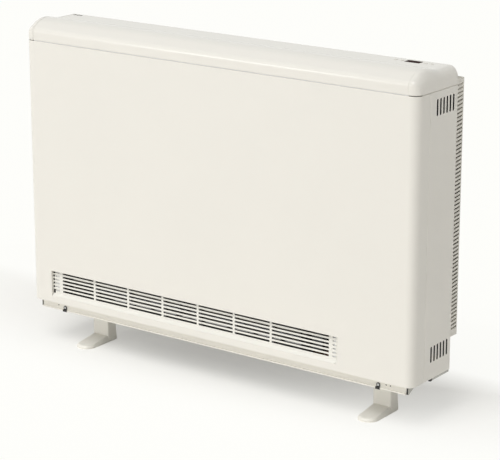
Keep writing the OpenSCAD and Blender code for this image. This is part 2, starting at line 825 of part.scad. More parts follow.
function cover_profile(inset, low) = concat(
    [[inset, low]],
    arc([nose_r, nose_rise], nose_r - inset, 180, 90 + nose_slope, 8),
    arc([crest_y, crest_h - crest_r], crest_r - inset, 90 + nose_slope, 90 - deck_slope, 10),
    arc([deck_y, deck_h + crest_r], crest_r + inset, 270 - deck_slope, 270, 4),
    [[body_d - inset, deck_h - inset], [body_d - inset, low]]
);

module cover_slab(x0, x1, inset, low) {
    translate([x0, front_y, cover_z0]) rotate([90, 0, 90]) linear_extrude(x1 - x0)
        polygon(cover_profile(inset, low));
}

cap_x0 = half_w - cap_w;

// Folded steel top cover between the end caps, with the openings for the controls
module top_cover() {
    lip_z1 = cover_z0 + 8;
    lip_x = cap_x0 - panel_gap;
    color("#f1efe6")
    difference() {
        union() {
            difference() {
                cover_slab(-cap_x0 + panel_gap / 2, cap_x0 - panel_gap / 2, 0, 0);
                cover_slab(-cap_x0 - over, cap_x0 + over, cover_t, -over);
            }
            block([-lip_x, front_y + cover_lip_set, panel_z1],
                  [lip_x, front_y + cover_lip_set + cover_lip_t, lip_z1]);
            block([-lip_x, back_y - cover_lip_set - cover_lip_t, panel_z1],
                  [lip_x, back_y - cover_lip_set, lip_z1]);
        }
        translate([display_x, display_y, deck_z])
            cube([display_w + 2 * control_fit, display_d + 2 * control_fit, 4 * cover_t], center = true);
        for (x = button_x)
            translate([x, display_y, deck_z - cover_t - over])
                cylinder(r = button_hole_r, h = cover_t + 2 * over);
        for (i = [0:sensor_slots - 1]) {
            x = sensor_x + (i - (sensor_slots - 1) / 2) * sensor_pitch;
            translate([x, sensor_y, deck_z])
                cube([sensor_slot_w, sensor_slot_len, 4 * cover_t], center = true);
        }
    }
}

// Sections of an end cap: each is the cover's profile drawn in towards its rear lower corner
cap_steps = 9;
function cap_section(inset, low, x, turn) =
    let (sy = 1 - edge_r / body_d * (1 - cos(turn)), sz = 1 - cap_drop / deck_h * (1 - cos(turn)))
    [for (p = cover_profile(inset, low)) [x, back_y - (body_d - p[0]) * sy, cover_z0 + p[1] * sz]];

module cap_solid(x0, inset, low) {
    reach = edge_r - inset;
    rows = concat([cap_section(inset, low, x0, 0)],
        [for (j = [0:cap_steps]) cap_section(inset, low, half_w - edge_r + reach * sin(90 * j / cap_steps),
                                             90 * j / cap_steps)]);
    n = len(rows[0]);
    last = len(rows) - 1;
    points = [for (row = rows, p = row) p];
    skin = [for (j = [0:last - 1], i = [0:n - 1])
        [j * n + i, j * n + (i + 1) % n, (j + 1) * n + (i + 1) % n, (j + 1) * n + i]];
    ends = [[for (i = [0:n - 1]) n - 1 - i], [for (i = [0:n - 1]) last * n + i]];
    polyhedron(points = points, faces = concat(skin, ends), convexity = 4);
}

// Moulded right-hand end of the cover, rounded down to the side and round the front corner
module end_cap() {
    y0 = front_y + edge_r;
    lip_x1 = half_w - cover_lip_set;
    difference() {
        cap_solid(cap_x0 + panel_gap / 2, 0, 0);
        cap_solid(cap_x0 - over, cover_t, -over);
    }
    block([lip_x1 - cover_lip_t, y0, panel_z1], [lip_x1, back_y - cover_lip_set, cover_z0 + 5]);
}

module left_end_cap() {
    color("#eceae1") mirror([1, 0, 0]) end_cap();
}

module right_end_cap() {
    color("#dddbd1") end_cap();
}

// ---------------------------------------------------------------- base

foot_x = half_w - foot_end;
leg_y = front_y + leg_set;
foot_screw_ys = [leg_y + leg_top_d / 2 - foot_screw_pitch / 2, leg_y + leg_top_d / 2 + foot_screw_pitch / 2];
foot_screw_xs = [-foot_x, foot_x];

// One moulded foot: flange, leg and a toe with a round end
module foot() {
    flange_y0 = leg_y + leg_top_d / 2 - foot_flange_d / 2;
    flange_z0 = tray_z0 - foot_flange_t;
    leg_x = foot_w / 2 - 1;
    toe_r = foot_w / 2;
    tip_y = leg_y - toe_len + toe_r;
    difference() {
        union() {
            block([-leg_x, flange_y0, flange_z0], [leg_x, flange_y0 + foot_flange_d, tray_z0]);
            translate([-leg_x, leg_y, 0]) rotate([90, 0, 90]) linear_extrude(2 * leg_x)
                polygon([[0, 0], [leg_foot_d, 0], [leg_foot_d + 0.8, 6], [leg_top_d, flange_z0 + bite],
                         [0, flange_z0 + bite]]);
            hull() {
                translate([0, tip_y, 0]) cylinder(r = toe_r, h = 3);
                translate([0, tip_y + 1, toe_tip_h - 0.1]) cylinder(r = toe_r - 5, h = 0.1);
                block([-toe_r, leg_y + 2, 0], [toe_r, leg_y + leg_foot_d - 8, 3]);
                block([-toe_r + 5, leg_y - 1, toe_h - 0.1], [toe_r - 5, leg_y + 3, toe_h]);
            }
        }
        for (y = foot_screw_ys)
            translate([0, y, flange_z0 - over])
                cylinder(r = foot_screw_r + 0.3, h = foot_flange_t + 2 * over);
    }
}

module left_foot() {
    color("#d8d6cc") translate([-foot_x, 0, 0]) foot();
}

module right_foot() {
    color("#d8d6cc") translate([foot_x, 0, 0]) foot();
}

// Screws from below through each foot's flange into the tray
module foot_screws() {
    head_z1 = tray_z0 - foot_flange_t;
    color("#b8b9b6")
    for (x = foot_screw_xs, y = foot_screw_ys) {
        translate([x, y, head_z1 - 3]) cylinder(r = 2 * foot_screw_r, h = 3);
        translate([x, y, head_z1 - bite]) cylinder(r = foot_screw_r, h = foot_flange_t + 6);
    }
}

// Rear guard of slotted sheet that keeps the hot back away from the wall
module rear_guard() {
    slot_y = (back_y + wall_y) / 2;
    count = floor((guard_h - 2 * guard_pitch) / guard_pitch);
    color("#cbc8be")
    difference() {
        union() {
            block([-guard_x, wall_y - guard_t, guard_z0], [guard_x, wall_y, guard_z1]);
            for (side = [0, 1]) mirror([side, 0, 0]) {
                block([guard_x - guard_t, back_y, guard_z0], [guard_x, wall_y, guard_z1]);
                for (z = tab_zs)
                    block([tab_x - tab_w / 2, back_y, z - tab_h / 2],
                          [guard_x - guard_t + bite, back_y + guard_t, z + tab_h / 2]);
            }
        }
        for (side = [-1, 1], i = [1:count])
            translate([side * guard_x, slot_y, guard_z1 - (i + 0.5) * guard_pitch])
                rotate([guard_slot_tilt, 0, 0])
                    cube([4 * guard_t, guard_slot_len, guard_slot_h], center = true);
        for (side = [-1, 1]) {
            bar_y(side * wall_hole_pitch / 2, wall_y - guard_t - over, wall_y + over,
                  guard_z1 - wall_hole_down, wall_hole_r);
            for (z = tab_zs)
                bar_y(side * tab_x, back_y - over, back_y + guard_t + over, z, rear_hole_r);
        }
    }
}

// Small screws of the back panel and of the guard's tabs
module rear_screws() {
    color("#b8b9b6")
    for (side = [-1, 1]) {
        for (z = rear_screw_zs) rear_screw(side * rear_screw_x, back_y, z);
        for (z = tab_zs) rear_screw(side * tab_x, back_y + guard_t, z);
    }
}

module rear_screw(x, y, z) {
    bar_y(x, y, y + 2, z, rear_head_r);
    bar_y(x, in_y1 - sheet_t - 3, y + bite, z, rear_screw_r);
}

// ---------------------------------------------------------------- core

// Steel shelf that carries the core above the fan bay, with cold and hot air slots
module core_shelf() {
    color("#9fa09c")
    difference() {
        union() {
            block([core_x0, core_y0, shelf_z0], [core_x1, core_y1, shelf_z1]);
            for (x = lug_xs) damper_lug(x, damper_y, shelf_z0 + bite);
        }
        air_slots(shelf_z0 - over, shelf_z1 + over);
        bar_x(core_x0, core_x1, damper_y, damper_z, spindle_r + spindle_fit);
    }
}

// Fixed hinge lugs stand at the ends and in the middle of the damper
lug_xs = [flap_x0 - lug_w - 1, (flap_x0 + flap_x1 - lug_w) / 2, flap_x1 + 1];
slot_x0 = flap_x0 + 4;
slot_x1 = flap_x1 - 4;

module air_slots(z0, z1) {
    block([slot_x0, hot_slot_y0, z0], [slot_x1, hot_slot_y0 + hot_slot_w, z1]);
    block([slot_x0, cold_slot_y0, z0], [slot_x1, cold_slot_y0 + cold_slot_w, z1]);
}

// One round lug with a web up to the sheet above it
module damper_lug(x, y, z_top) {
    r = spindle_r + lug_wall;
    bar_x(x, x + lug_w, y, damper_z, r);
    block([x, y - r, damper_z], [x + lug_w, y + r, z_top]);
}

// End frames and rear posts between the tray and the shelf
module shelf_legs() {
    leg_t = 2;
    y0 = tray_y0 + sheet_t + 1;
    color("#9fa09c") {
        for (x = [core_x0, core_x1 - leg_t]) difference() {
            block([x, y0, tray_z1], [x + leg_t, core_y1, shelf_z0]);
            bar_x(x - over, x + leg_t + over, damper_y, damper_z, spindle_r + 1);
        }
        for (x = [core_x0 + core_w / 3, core_x0 + core_w * 2 / 3])
            block([x - 12, core_y1 - 4, tray_z1], [x + 12, core_y1, shelf_z0]);
    }
}

// Sheet wall between the core and the electrical bay
module core_partition() {
    color("#a4a5a1")
    difference() {
        block([core_x1, tray_y0 + sheet_t + 1, tray_z1], [partition_x1, core_y1, core_z1]);
        for (row = [0:brick_rows - 1], side = [-1, 1])
            bar_x(core_x1 - over, partition_x1 + over, mid_y, leg_z(row, side), bush_r + 0.2);
        bar_x(core_x1 - over, partition_x1 + over, damper_y, damper_z, spindle_r + 1);
        bar_x(core_x1 - over, partition_x1 + over, cutout_y, cutout_z, 2.6);
    }
}

// Height of one leg of an element, below or above the middle of its brick row
function leg_z(row, side) = bricks_z0 + row * row_step + brick_h / 2 + side * element_span / 2;

module base_insulation() {
    color("#d8cdb4")
    difference() {
        block([bricks_x0, core_y0, shelf_z1], [bricks_x1, core_y1, bricks_z0]);
        air_slots(shelf_z1 - over, bricks_z0 + over);
    }
}

module front_insulation() {
    color("#e0d6bf") block([bricks_x0, core_y0, bricks_z0], [bricks_x1, bricks_y0, core_z1]);
}

module rear_insulation() {
    color("#e0d6bf") block([bricks_x0, bricks_y1, bricks_z0], [bricks_x1, core_y1, core_z1]);
}

module top_insulation() {
    color("#d8cdb4") block([bricks_x0, bricks_y0, bricks_z1], [bricks_x1, bricks_y1, core_z1]);
}

bend_reach = element_span / 2 + element_r;

// End board with pockets for the bends of the elements
module left_insulation() {
    color("#d3c7ab")
    difference() {
        block([core_x0, core_y0, shelf_z1], [bricks_x0, core_y1, core_z1]);
        for (row = [0:brick_rows - 1]) {
            z = (leg_z(row, -1) + leg_z(row, 1)) / 2;
            block([bricks_x0 - bend_reach - 1, mid_y - element_r - 1, z - bend_reach - 1],
                  [bricks_x0 + over, mid_y + element_r + 1, z + bend_reach + 1]);
        }
    }
}

// End board with holes for the legs of the elements
module right_insulation() {
    color("#d3c7ab")
    difference() {
        block([bricks_x1, core_y0, shelf_z1], [core_x1, core_y1, core_z1]);
        for (row = [0:brick_rows - 1], side = [-1, 1])
            bar_x(bricks_x1 - over, core_x1 + over, mid_y, leg_z(row, side), element_r + element_fit);
        bar_x(bricks_x1 - over, core_x1 + over, cutout_y, cutout_z, 2);
    }
}

// One brick, its grooves towards the elements and its air channels towards the insulation
module brick(x, z, front) {
    y0 = front ? bricks_y0 : bricks_y1 - brick_d;
    channel_w = brick_w / 8;
    channel_d = 9;
    channel_y = front ? y0 - over : y0 + brick_d - channel_d;
    difference() {
        block([x, y0, z], [x + brick_w, y0 + brick_d, z + brick_h]);
        for (side = [-1, 1])
            bar_x(x - over, x + brick_w + over, mid_y, z + brick_h / 2 + side * element_span / 2,
                  element_r + element_fit);
        for (share = [1, 3, 5, 7]) {
            cx = x + brick_w * share / 8;
            block([cx - channel_w / 2, channel_y, z - over],
                  [cx + channel_w / 2, channel_y + channel_d + over, z + brick_h + over]);
        }
    }
}

module bricks(front) {
    for (column = [0:brick_columns - 1], row = [0:brick_rows - 1])
        brick(bricks_x0 + column * (brick_w + column_joint), bricks_z0 + row * row_step, front);
}

module front_bricks() {
    color("#6b4a3c") bricks(true);
}

module rear_bricks() {
    color("#63453a") bricks(false);
}

tail_x1 = partition_x1 + element_tail;

// Hairpin elements, one between the bricks of each row, with their terminals in the bay
module heating_elements() {
    color("#8f9294")
    for (row = [0:brick_rows - 1]) {
        for (side = [-1, 1]) {
            bar_x(bricks_x0, tail_x1, mid_y, leg_z(row, side), element_r);
            bar_x(tail_x1 - bite, tail_x1 + stud_len, mid_y, leg_z(row, side), stud_r);
        }
        translate([bricks_x0 + 0.01, mid_y, (leg_z(row, -1) + leg_z(row, 1)) / 2]) rotate([90, -90, 0])
            rotate_extrude(angle = 180) translate([element_span / 2, 0]) circle(r = element_r);
    }
}

// Ceramic bushes round the legs where they pass the partition
module element_bushes() {
    color("#efe9dc")
    for (row = [0:brick_rows - 1], side = [-1, 1]) difference() {
        bar_x(core_x1, partition_x1 + 8, mid_y, leg_z(row, side), bush_r);
        bar_x(core_x1 - over, partition_x1 + 8 + over, mid_y, leg_z(row, side), element_r + 0.05);
    }
}

// Brass links that join the elements in one row of terminals
module element_links() {
    x0 = tail_x1 + 2;
    color("#c9a24b")
    for (row = [0:brick_rows - 2]) difference() {
        block([x0, mid_y - link_w / 2, leg_z(row, 1) - link_w / 2],
              [x0 + link_t, mid_y + link_w / 2, leg_z(row + 1, -1) + link_w / 2]);
        for (z = [leg_z(row, 1), leg_z(row + 1, -1)])
            bar_x(x0 - over, x0 + link_t + over, mid_y, z, stud_r + 0.05);
    }
}

// ---------------------------------------------------------------- fan and damper

// Inside of the fan's scroll and outlet duct, grown by a distance
module scroll_plan(grow) {
    duct_y0 = grille_y0 + grille_d + 0.6;
    translate([fan_y, fan_z]) circle(r = scroll_r + grow);
    translate([duct_y0, duct_z0 - grow]) square([fan_y - duct_y0, fan_z + scroll_r - duct_z0 + 2 * grow]);
}

tongue_y = fan_y - impeller_r + 8;
hanger_xs = [plate_x0 + 60, (plate_x0 + plate_x1) / 2];

// Folded fan housing: outlet duct, scroll over the impeller, and end plates down to the tray
module fan_housing() {
    duct_y0 = grille_y0 + grille_d + 0.6;
    foot_z1 = tray_z1 + 1.2;
    color("#aeb0ad")
    difference() {
        union() {
            translate([plate_x0, 0, 0]) rotate([90, 0, 90]) linear_extrude(plate_x1 - plate_x0) difference() {
                scroll_plan(duct_t);
                scroll_plan(0);
                translate([tongue_y, tray_z1 - over])
                    square([2 * scroll_r + duct_t, fan_z - 6 - tray_z1 + over]);
                translate([duct_y0 - over, tray_z1]) square([over + 0.1, 2 * fan_bay_h]);
            }
            for (x = [plate_x0 - duct_t, plate_x1]) {
                translate([x, 0, 0]) rotate([90, 0, 90]) linear_extrude(duct_t) scroll_plan(duct_t);
                block([x, fan_y - 20, tray_z1], [x + duct_t, fan_y + 20, fan_z]);
            }
            for (x = hanger_xs)
                block([x, boost_y - hanger_w / 2, boost_z - boost_span / 2 - hanger_w / 2],
                      [x + duct_t, boost_y + hanger_w / 2, fan_z + scroll_r + bite]);
            block([plate_x0 - 12, fan_y - 20, tray_z1], [plate_x0, fan_y + 20, foot_z1]);
            block([plate_x1, fan_y - 20, tray_z1], [plate_x1 + 12, fan_y + 20, foot_z1]);
        }
        bar_x(plate_x0 - duct_t - over, plate_x0 + over, fan_y, fan_z, bearing_r);
        bar_x(plate_x1 - over, plate_x1 + duct_t + over, fan_y, fan_z, shaft_r + 3);
        for (side = [-1, 1], x = concat(hanger_xs, [plate_x1]))
            bar_x(x - over, x + duct_t + over, boost_y, boost_z + side * boost_span / 2, boost_r + 0.05);
    }
}

// One blade in section: a bent strip from just inside the rim inwards
module impeller_blade() {
    lean = 14;
    bends = 2;
    function edge(i, turn) =
        let (r = impeller_r - 0.4 - blade_d * i / bends, a = lean * pow(i / bends, 2) + turn / r)
        r * [cos(a), sin(a)];
    polygon(concat([for (i = [0:bends]) edge(i, 0)],
                   [for (i = [bends:-1:0]) edge(i, blade_t * 180 / PI)]));
}

// Cross-flow impeller: a cage of bent blades held by discs
module fan_impeller() {
    stage = (fan_x1 - fan_x0 - disc_t) / stage_count;
    color("#8d9194")
    difference() {
        translate([0, fan_y, fan_z]) rotate([90, 0, 90]) {
            translate([0, 0, fan_x0]) linear_extrude(fan_x1 - fan_x0)
                for (i = [0:blade_count - 1]) rotate(i * 360 / blade_count) impeller_blade();
            for (i = [0:stage_count]) translate([0, 0, fan_x0 + i * stage]) difference() {
                cylinder(r = impeller_r, h = disc_t);
                if (i > 0 && i < stage_count)
                    translate([0, 0, -over]) cylinder(r = impeller_r - blade_d - 1, h = disc_t + 2 * over);
            }
            for (z = [fan_x0, fan_x1 - 12]) translate([0, 0, z]) cylinder(r = 3 * shaft_r, h = 12);
        }
        bar_x(fan_x0 - over, fan_x1 + over, fan_y, fan_z, shaft_r + 0.02);
    }
}

shaft_x0 = plate_x0 - bearing_len;
shaft_x1 = stack_x0 + stack_len + 18;

module fan_shaft() {
    color("#c4c6c8") bar_x(shaft_x0, shaft_x1, fan_y, fan_z, shaft_r);
}

// Bronze bush in a rubber ring at the fan's left end, and a second one behind the motor
module fan_bearing() {
    color("#4a4a4a") {
        bearing_bush(plate_x0 - bearing_len + 2);
        bearing_bush(stack_x0 + stack_len + 6);
    }
}

module bearing_bush(x) {
    difference() {
        bar_x(x, x + bearing_len, fan_y, fan_z, bearing_r - 0.02);
        bar_x(x - over, x + bearing_len + over, fan_y, fan_z, shaft_r + shaft_fit);
    }
}

// Lamination stack of the shaded-pole motor, with its end bracket and the posts that hold it
module motor_stator() {
    y0 = fan_y - stack_w / 2;
    bore_r = rotor_r + rotor_gap;
    bracket_x = stack_x0 + stack_len + 8;
    post_y = stack_w / 2 - 5;
    post_z = stack_h / 2 - 5;
    color("#7d8184")
    difference() {
        union() {
            block([stack_x0, y0, fan_z - stack_h / 2],
                  [stack_x0 + stack_len, y0 + stack_w, fan_z + stack_h / 2]);
            block([bracket_x, y0, fan_z - 9], [bracket_x + 1.5, y0 + stack_w, fan_z + 9]);
            for (sy = [-1, 1]) {
                bar_x(plate_x1 + duct_t, stack_x0 + bite, fan_y + sy * post_y, fan_z + post_z, 3);
                bar_x(plate_x1 + duct_t, stack_x0 + bite, fan_y + sy * post_y, fan_z - post_z, 3);
                bar_x(stack_x0 + stack_len - bite, bracket_x + bite, fan_y + sy * post_y, fan_z, 3);
            }
        }
        bar_x(stack_x0 - over, stack_x0 + stack_len + over, fan_y, fan_z, bore_r);
        bar_x(bracket_x - over, bracket_x + 1.5 + over, fan_y, fan_z, bearing_r);
        for (sy = [-1, 1])
            block([stack_x0 - over, fan_y + sy * (bore_r + 7) - 3, fan_z - 10],
                  [stack_x0 + stack_len + over, fan_y + sy * (bore_r + 7) + 3, fan_z + 10]);
    }
}

// Coil wound on the lower leg of the stack
module motor_coil() {
    z0 = fan_z - stack_h / 2 - 14;
    color("#b06a34")
    difference() {
        block([stack_x0 - 6, fan_y - 14, z0], [stack_x0 + stack_len + 6, fan_y + 14, fan_z - stack_h / 2]);
        block([stack_x0 + 4, fan_y - 15, z0 - over], [stack_x0 + stack_len - 4, fan_y + 15, z0 + 3]);
    }
}

module motor_rotor() {
    color("#9b9ea0")
    difference() {
        bar_x(stack_x0, stack_x0 + stack_len, fan_y, fan_z, rotor_r);
        bar_x(stack_x0 - over, stack_x0 + stack_len + over, fan_y, fan_z, shaft_r + 0.02);
    }
}

// Flap under the shelf that closes the hot-air slot, with its own lugs on the spindle
module damper_flap() {
    flap_z1 = shelf_z0 - 0.4;
    middle = (flap_x0 + flap_x1) / 2;
    r = spindle_r + lug_wall;
    color("#8a8d8f")
    difference() {
        union() {
            difference() {
                block([flap_x0, damper_y - flap_w, flap_z1 - flap_t], [flap_x1, damper_y, flap_z1]);
                block([middle - lug_w / 2 - 1, damper_y - r - 3, flap_z1 - flap_t - over],
                      [middle + lug_w / 2 + 1, damper_y + over, flap_z1 + over]);
                block([flap_x0 - over, damper_y - r - 1, flap_z1 - flap_t - over],
                      [flap_x1 + over, damper_y + over, flap_z1 + over]);
            }
            for (x = flap_lug_xs) {
                bar_x(x, x + lug_w, damper_y, damper_z, r);
                translate([x, damper_y, damper_z]) rotate([90, 0, 90]) linear_extrude(lug_w)
                    polygon([[0, -r], [0, r], [-r - 3, flap_z1 - damper_z],
                             [-r - 3, flap_z1 - flap_t - damper_z]]);
            }
        }
        bar_x(flap_x0 - over, flap_x1 + over, damper_y, damper_z, spindle_r + 0.02);
    }
}

flap_len = flap_x1 - flap_x0;
flap_lug_xs = [flap_x0 + 20, flap_x0 + flap_len / 4, flap_x1 - flap_len / 4, flap_x1 - 20 - lug_w];
damper_motor_x0 = partition_x1 + damper_motor_off;

// Spindle through the flap's lugs, the shelf's lugs and the partition, into the motor's hub
module damper_spindle() {
    color("#c4c6c8")
    bar_x(flap_x0 - lug_w - 3, damper_motor_x0 + damper_motor_len / 2, damper_y, damper_z, spindle_r);
}

// Small geared motor on two brackets, with a blind bore for the damper's spindle
module damper_motor() {
    bracket_h = damper_motor_r + 8;
    color("#3f4245")
    difference() {
        union() {
            bar_x(damper_motor_x0, damper_motor_x0 + damper_motor_len, damper_y, damper_z, damper_motor_r);
            block([partition_x1, damper_y - 4, damper_z - bracket_h],
                  [damper_motor_x0 + 2, damper_y + 4, damper_z - bracket_h / 2]);
            block([partition_x1, damper_y - 4, damper_z + bracket_h / 2],
                  [damper_motor_x0 + 2, damper_y + 4, damper_z + bracket_h]);
        }
        bar_x(damper_motor_x0 - over, damper_motor_x0 + damper_motor_len / 2 + over, damper_y, damper_z,
              spindle_r + spindle_fit);
    }
}

// Hairpin booster in the outlet duct, for heat when the core is cold
module boost_element() {
    x0 = plate_x0 + 10;
    x1 = plate_x1 + duct_t + 12;
    color("#77797b") {
        for (side = [-1, 1])
            bar_x(x0 + boost_span / 2, x1, boost_y, boost_z + side * boost_span / 2, boost_r);
        translate([x0 + boost_span / 2 + 0.01, boost_y, boost_z]) rotate([90, -90, 0])
            rotate_extrude(angle = 180) translate([boost_span / 2, 0]) circle(r = boost_r);
    }
}

// ---------------------------------------------------------------- electrical bay

// Ceramic block with three brass-screwed ways, on the tray in front of the gland
module terminal_block() {
    x0 = gland_x - 24;
    color("#e8e4d8")
    difference() {
        block([x0, block_y0 - 20, tray_z1], [x0 + 48, block_y0, tray_z1 + 26]);
        for (i = [0:2]) {
            x = x0 + 8 + i * 16;
            bar_y(x, block_y0 - 20 - over, block_y0 + over, tray_z1 + 12, 2.6);
            translate([x, block_y0 - 10, tray_z1 + 12]) cylinder(r = 2.2, h = 20);
        }
    }
}

// Cable gland through the back panel: flange, body and domed nut round one bore
module cable_gland() {
    color("#2b2b2b")
    difference() {
        union() {
            bar_y(gland_x, in_y1 - 8, back_y + gland_len, gland_z, gland_outer_r - 2.2);
            bar_y(gland_x, back_y, back_y + 4, gland_z, gland_outer_r);
            translate([gland_x, back_y + 5, gland_z]) rotate([-90, 0, 0])
                cylinder(r = gland_outer_r, h = gland_len - 5, $fn = 6);
            bar_y(gland_x, in_y1 - 5, in_y1, gland_z, gland_outer_r);
        }
        bar_y(gland_x, in_y1 - 8 - over, back_y + gland_len + over, gland_z, gland_r);
    }
}

module earth_stud() {
    x = gland_x - 44;
    y = block_y0 - 8;
    color("#d0b050") {
        translate([x, y, tray_z1]) cylinder(r = 2.5, h = 14);
        translate([x, y, tray_z1]) cylinder(r = 4.6, h = 3.2, $fn = 6);
        translate([x, y, tray_z1 + 5]) cylinder(r = 4.6, h = 3.2, $fn = 6);
    }
}

// Core over-heat cut-out on the partition, its probe reaches into the end board
module core_cutout() {
    face_x = partition_x1 + cutout_d;
    color("#d9d2bd")
    difference() {
        union() {
            block([partition_x1, cutout_y - cutout_w / 2, cutout_z - cutout_h / 2],
                  [face_x, cutout_y + cutout_w / 2, cutout_z + cutout_h / 2]);
            bar_x(face_x - bite, reset_x0, cutout_y, cutout_z, reset_r + 3);
            bar_x(core_x1 - 30, partition_x1 + bite, cutout_y, cutout_z, 1.6);
        }
        bar_x(reset_x0 - 10, reset_x0 + over, cutout_y, cutout_z, reset_r + 0.3);
    }
}

// Red button that re-arms the cut-out
module cutout_reset_button() {
    color("#b3342c")
    bar_x(reset_x0 - 10 + reset_travel + 0.5, reset_x0 + reset_travel + 1, cutout_y, cutout_z, reset_r);
}

// Bimetal disc thermostat on top of the outlet duct
module outlet_cutout() {
    x = plate_x1 - 60;
    y = fan_y - 24;
    z = fan_z + scroll_r + duct_t;
    color("#3a3532") {
        translate([x, y, z]) cylinder(r = 8, h = 5);
        translate([x, y, z + 5 - bite]) cylinder(r = 6, h = 6);
    }
}

board_x0 = partition_x1 + board_off;
board_y0 = tray_y0 + board_set;
board_y1 = mid_y - bush_r - board_edge + 1;
power_z0 = bricks_z0 + board_up;
power_z1 = cutout_z - cutout_h / 2 - board_gap;
board_hole_ys = [board_y0 + board_edge, board_y1 - board_edge];
board_hole_zs = [power_z0 + board_edge, power_z1 - board_edge];

// Power circuit board on stand-offs along the partition
module control_board() {
    color("#2f6b45")
    difference() {
        block([board_x0, board_y0, power_z0], [board_x0 + board_t, board_y1, power_z1]);
        for (y = board_hole_ys, z = board_hole_zs)
            bar_x(board_x0 - over, board_x0 + board_t + over, y, z, 1.6);
    }
}

module board_standoffs() {
    color("#d7d7d2")
    for (y = board_hole_ys, z = board_hole_zs) {
        bar_x(partition_x1, board_x0, y, z, 3.5);
        bar_x(board_x0 - bite, board_x0 + board_t + 2, y, z, 1.5);
    }
}

// Relays and the supply's transformer, soldered side by side on the board
module power_relays() {
    x0 = board_x0 + board_t;
    z0 = power_z0 + 2 * board_edge;
    step = (power_z1 - power_z0 - 4 * board_edge) / relay_count;
    color("#27313c")
    for (i = [0:relay_count - 1]) {
        middle = z0 + (i + 0.5) * step;
        block([x0, board_y0 + 3, middle - relay_len / 2],
              [x0 + relay_h, board_y0 + 3 + relay_w, middle + relay_len / 2]);
    }
}

// Display board under the deck, hung on four pillars, with the display's block under the window
module display_board() {
    x0 = button_x[0] - 12;
    x1 = button_x[3] + 9;
    y0 = display_y - display_d / 2 - 4;
    y1 = display_y + display_d / 2 + 3;
    under = deck_z - cover_t;
    color("#2f6b45") {
        block([x0, y0, board_z1 - board_t], [x1, y1, board_z1]);
        block([display_x - display_w / 2 + 2, display_y - display_d / 2 + 2, board_z1 - bite],
              [display_x + display_w / 2 - 2, display_y + display_d / 2 - 2, under - 0.6]);
        for (x = [x0 + 3, x1 - 3], y = [y0 + 3, y1 - 3])
            translate([x, y, board_z1 - bite]) cylinder(r = 2, h = under - board_z1 + bite);
    }
}

module button_switches() {
    color("#1f1f1f")
    for (x = button_x) {
        block([x - 3, display_y - 3, board_z1], [x + 3, display_y + 3, switch_z1 - 0.7]);
        translate([x, display_y, switch_z1 - 0.7 - bite]) cylinder(r = 1.7, h = 0.7 + bite);
    }
}

// Dark window flush in the deck
module display_window() {
    color("#3a1a16") {
        block([display_x - display_w / 2, display_y - display_d / 2, deck_z - cover_t],
              [display_x + display_w / 2, display_y + display_d / 2, deck_z + 0.1]);
        block([display_x - display_w / 2 - 1.5, display_y - display_d / 2 - 1.5, deck_z - cover_t - 0.5],
              [display_x + display_w / 2 + 1.5, display_y + display_d / 2 + 1.5, deck_z - cover_t]);
    }
}

// One push-button: cap through the deck, collar under it and a stem above its switch
module push_button(x) {
    color("#e6e3d9") {
        translate([x, display_y, collar_z1 - button_collar]) cylinder(r = collar_r, h = button_collar);
        translate([x, display_y, collar_z1 - bite])
            cylinder(r = button_r, h = deck_z + button_proud - collar_z1 + bite);
        translate([x, display_y, stem_z0]) cylinder(r = stem_r, h = stem_len + bite);
    }
}

module button_minus() {
    push_button(button_x[0]);
}

module button_plus() {
    push_button(button_x[1]);
}

module button_mode() {
    push_button(button_x[2]);
}

module button_boost() {
    push_button(button_x[3]);
}

// Thermistor holder on the underside of the deck, below the sensor vent
module room_sensor() {
    under = deck_z - cover_t;
    half = sensor_slots * sensor_pitch / 2 + 2;
    x0 = max(sensor_x - half, -cap_x0 + 3);
    x1 = sensor_x + half;
    y0 = sensor_y - sensor_slot_len / 2;
    y1 = sensor_y + sensor_slot_len / 2;
    color("#e4e1d6")
    difference() {
        block([x0, y0 - 2, under - 14], [x1, y1 + 2, under]);
        block([x0 - over, y0, under - 12], [x1 + over, y1, under + over]);
    }
}

front_panel();
left_side_panel();
right_side_panel();
back_panel();
base_tray();
front_base_rail();
outlet_grille();
top_cover();
left_end_cap();
right_end_cap();
rear_guard();
left_foot();
right_foot();
foot_screws();
panel_screws();
panel_clips();
rear_screws();
core_shelf();
shelf_legs();
core_partition();
base_insulation();
front_insulation();
rear_insulation();
left_insulation();
right_insulation();
top_insulation();
front_bricks();
rear_bricks();
heating_elements();
element_bushes();
element_links();
boost_element();
fan_housing();
fan_impeller();
fan_shaft();
fan_bearing();
motor_stator();
motor_coil();
motor_rotor();
damper_flap();
damper_spindle();
damper_motor();
terminal_block();
cable_gland();
earth_stud();
core_cutout();
cutout_reset_button();
outlet_cutout();
control_board();
power_relays();
board_standoffs();
display_board();
button_switches();
display_window();
button_minus();
button_plus();
button_mode();
button_boost();
room_sensor();
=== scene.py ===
import math

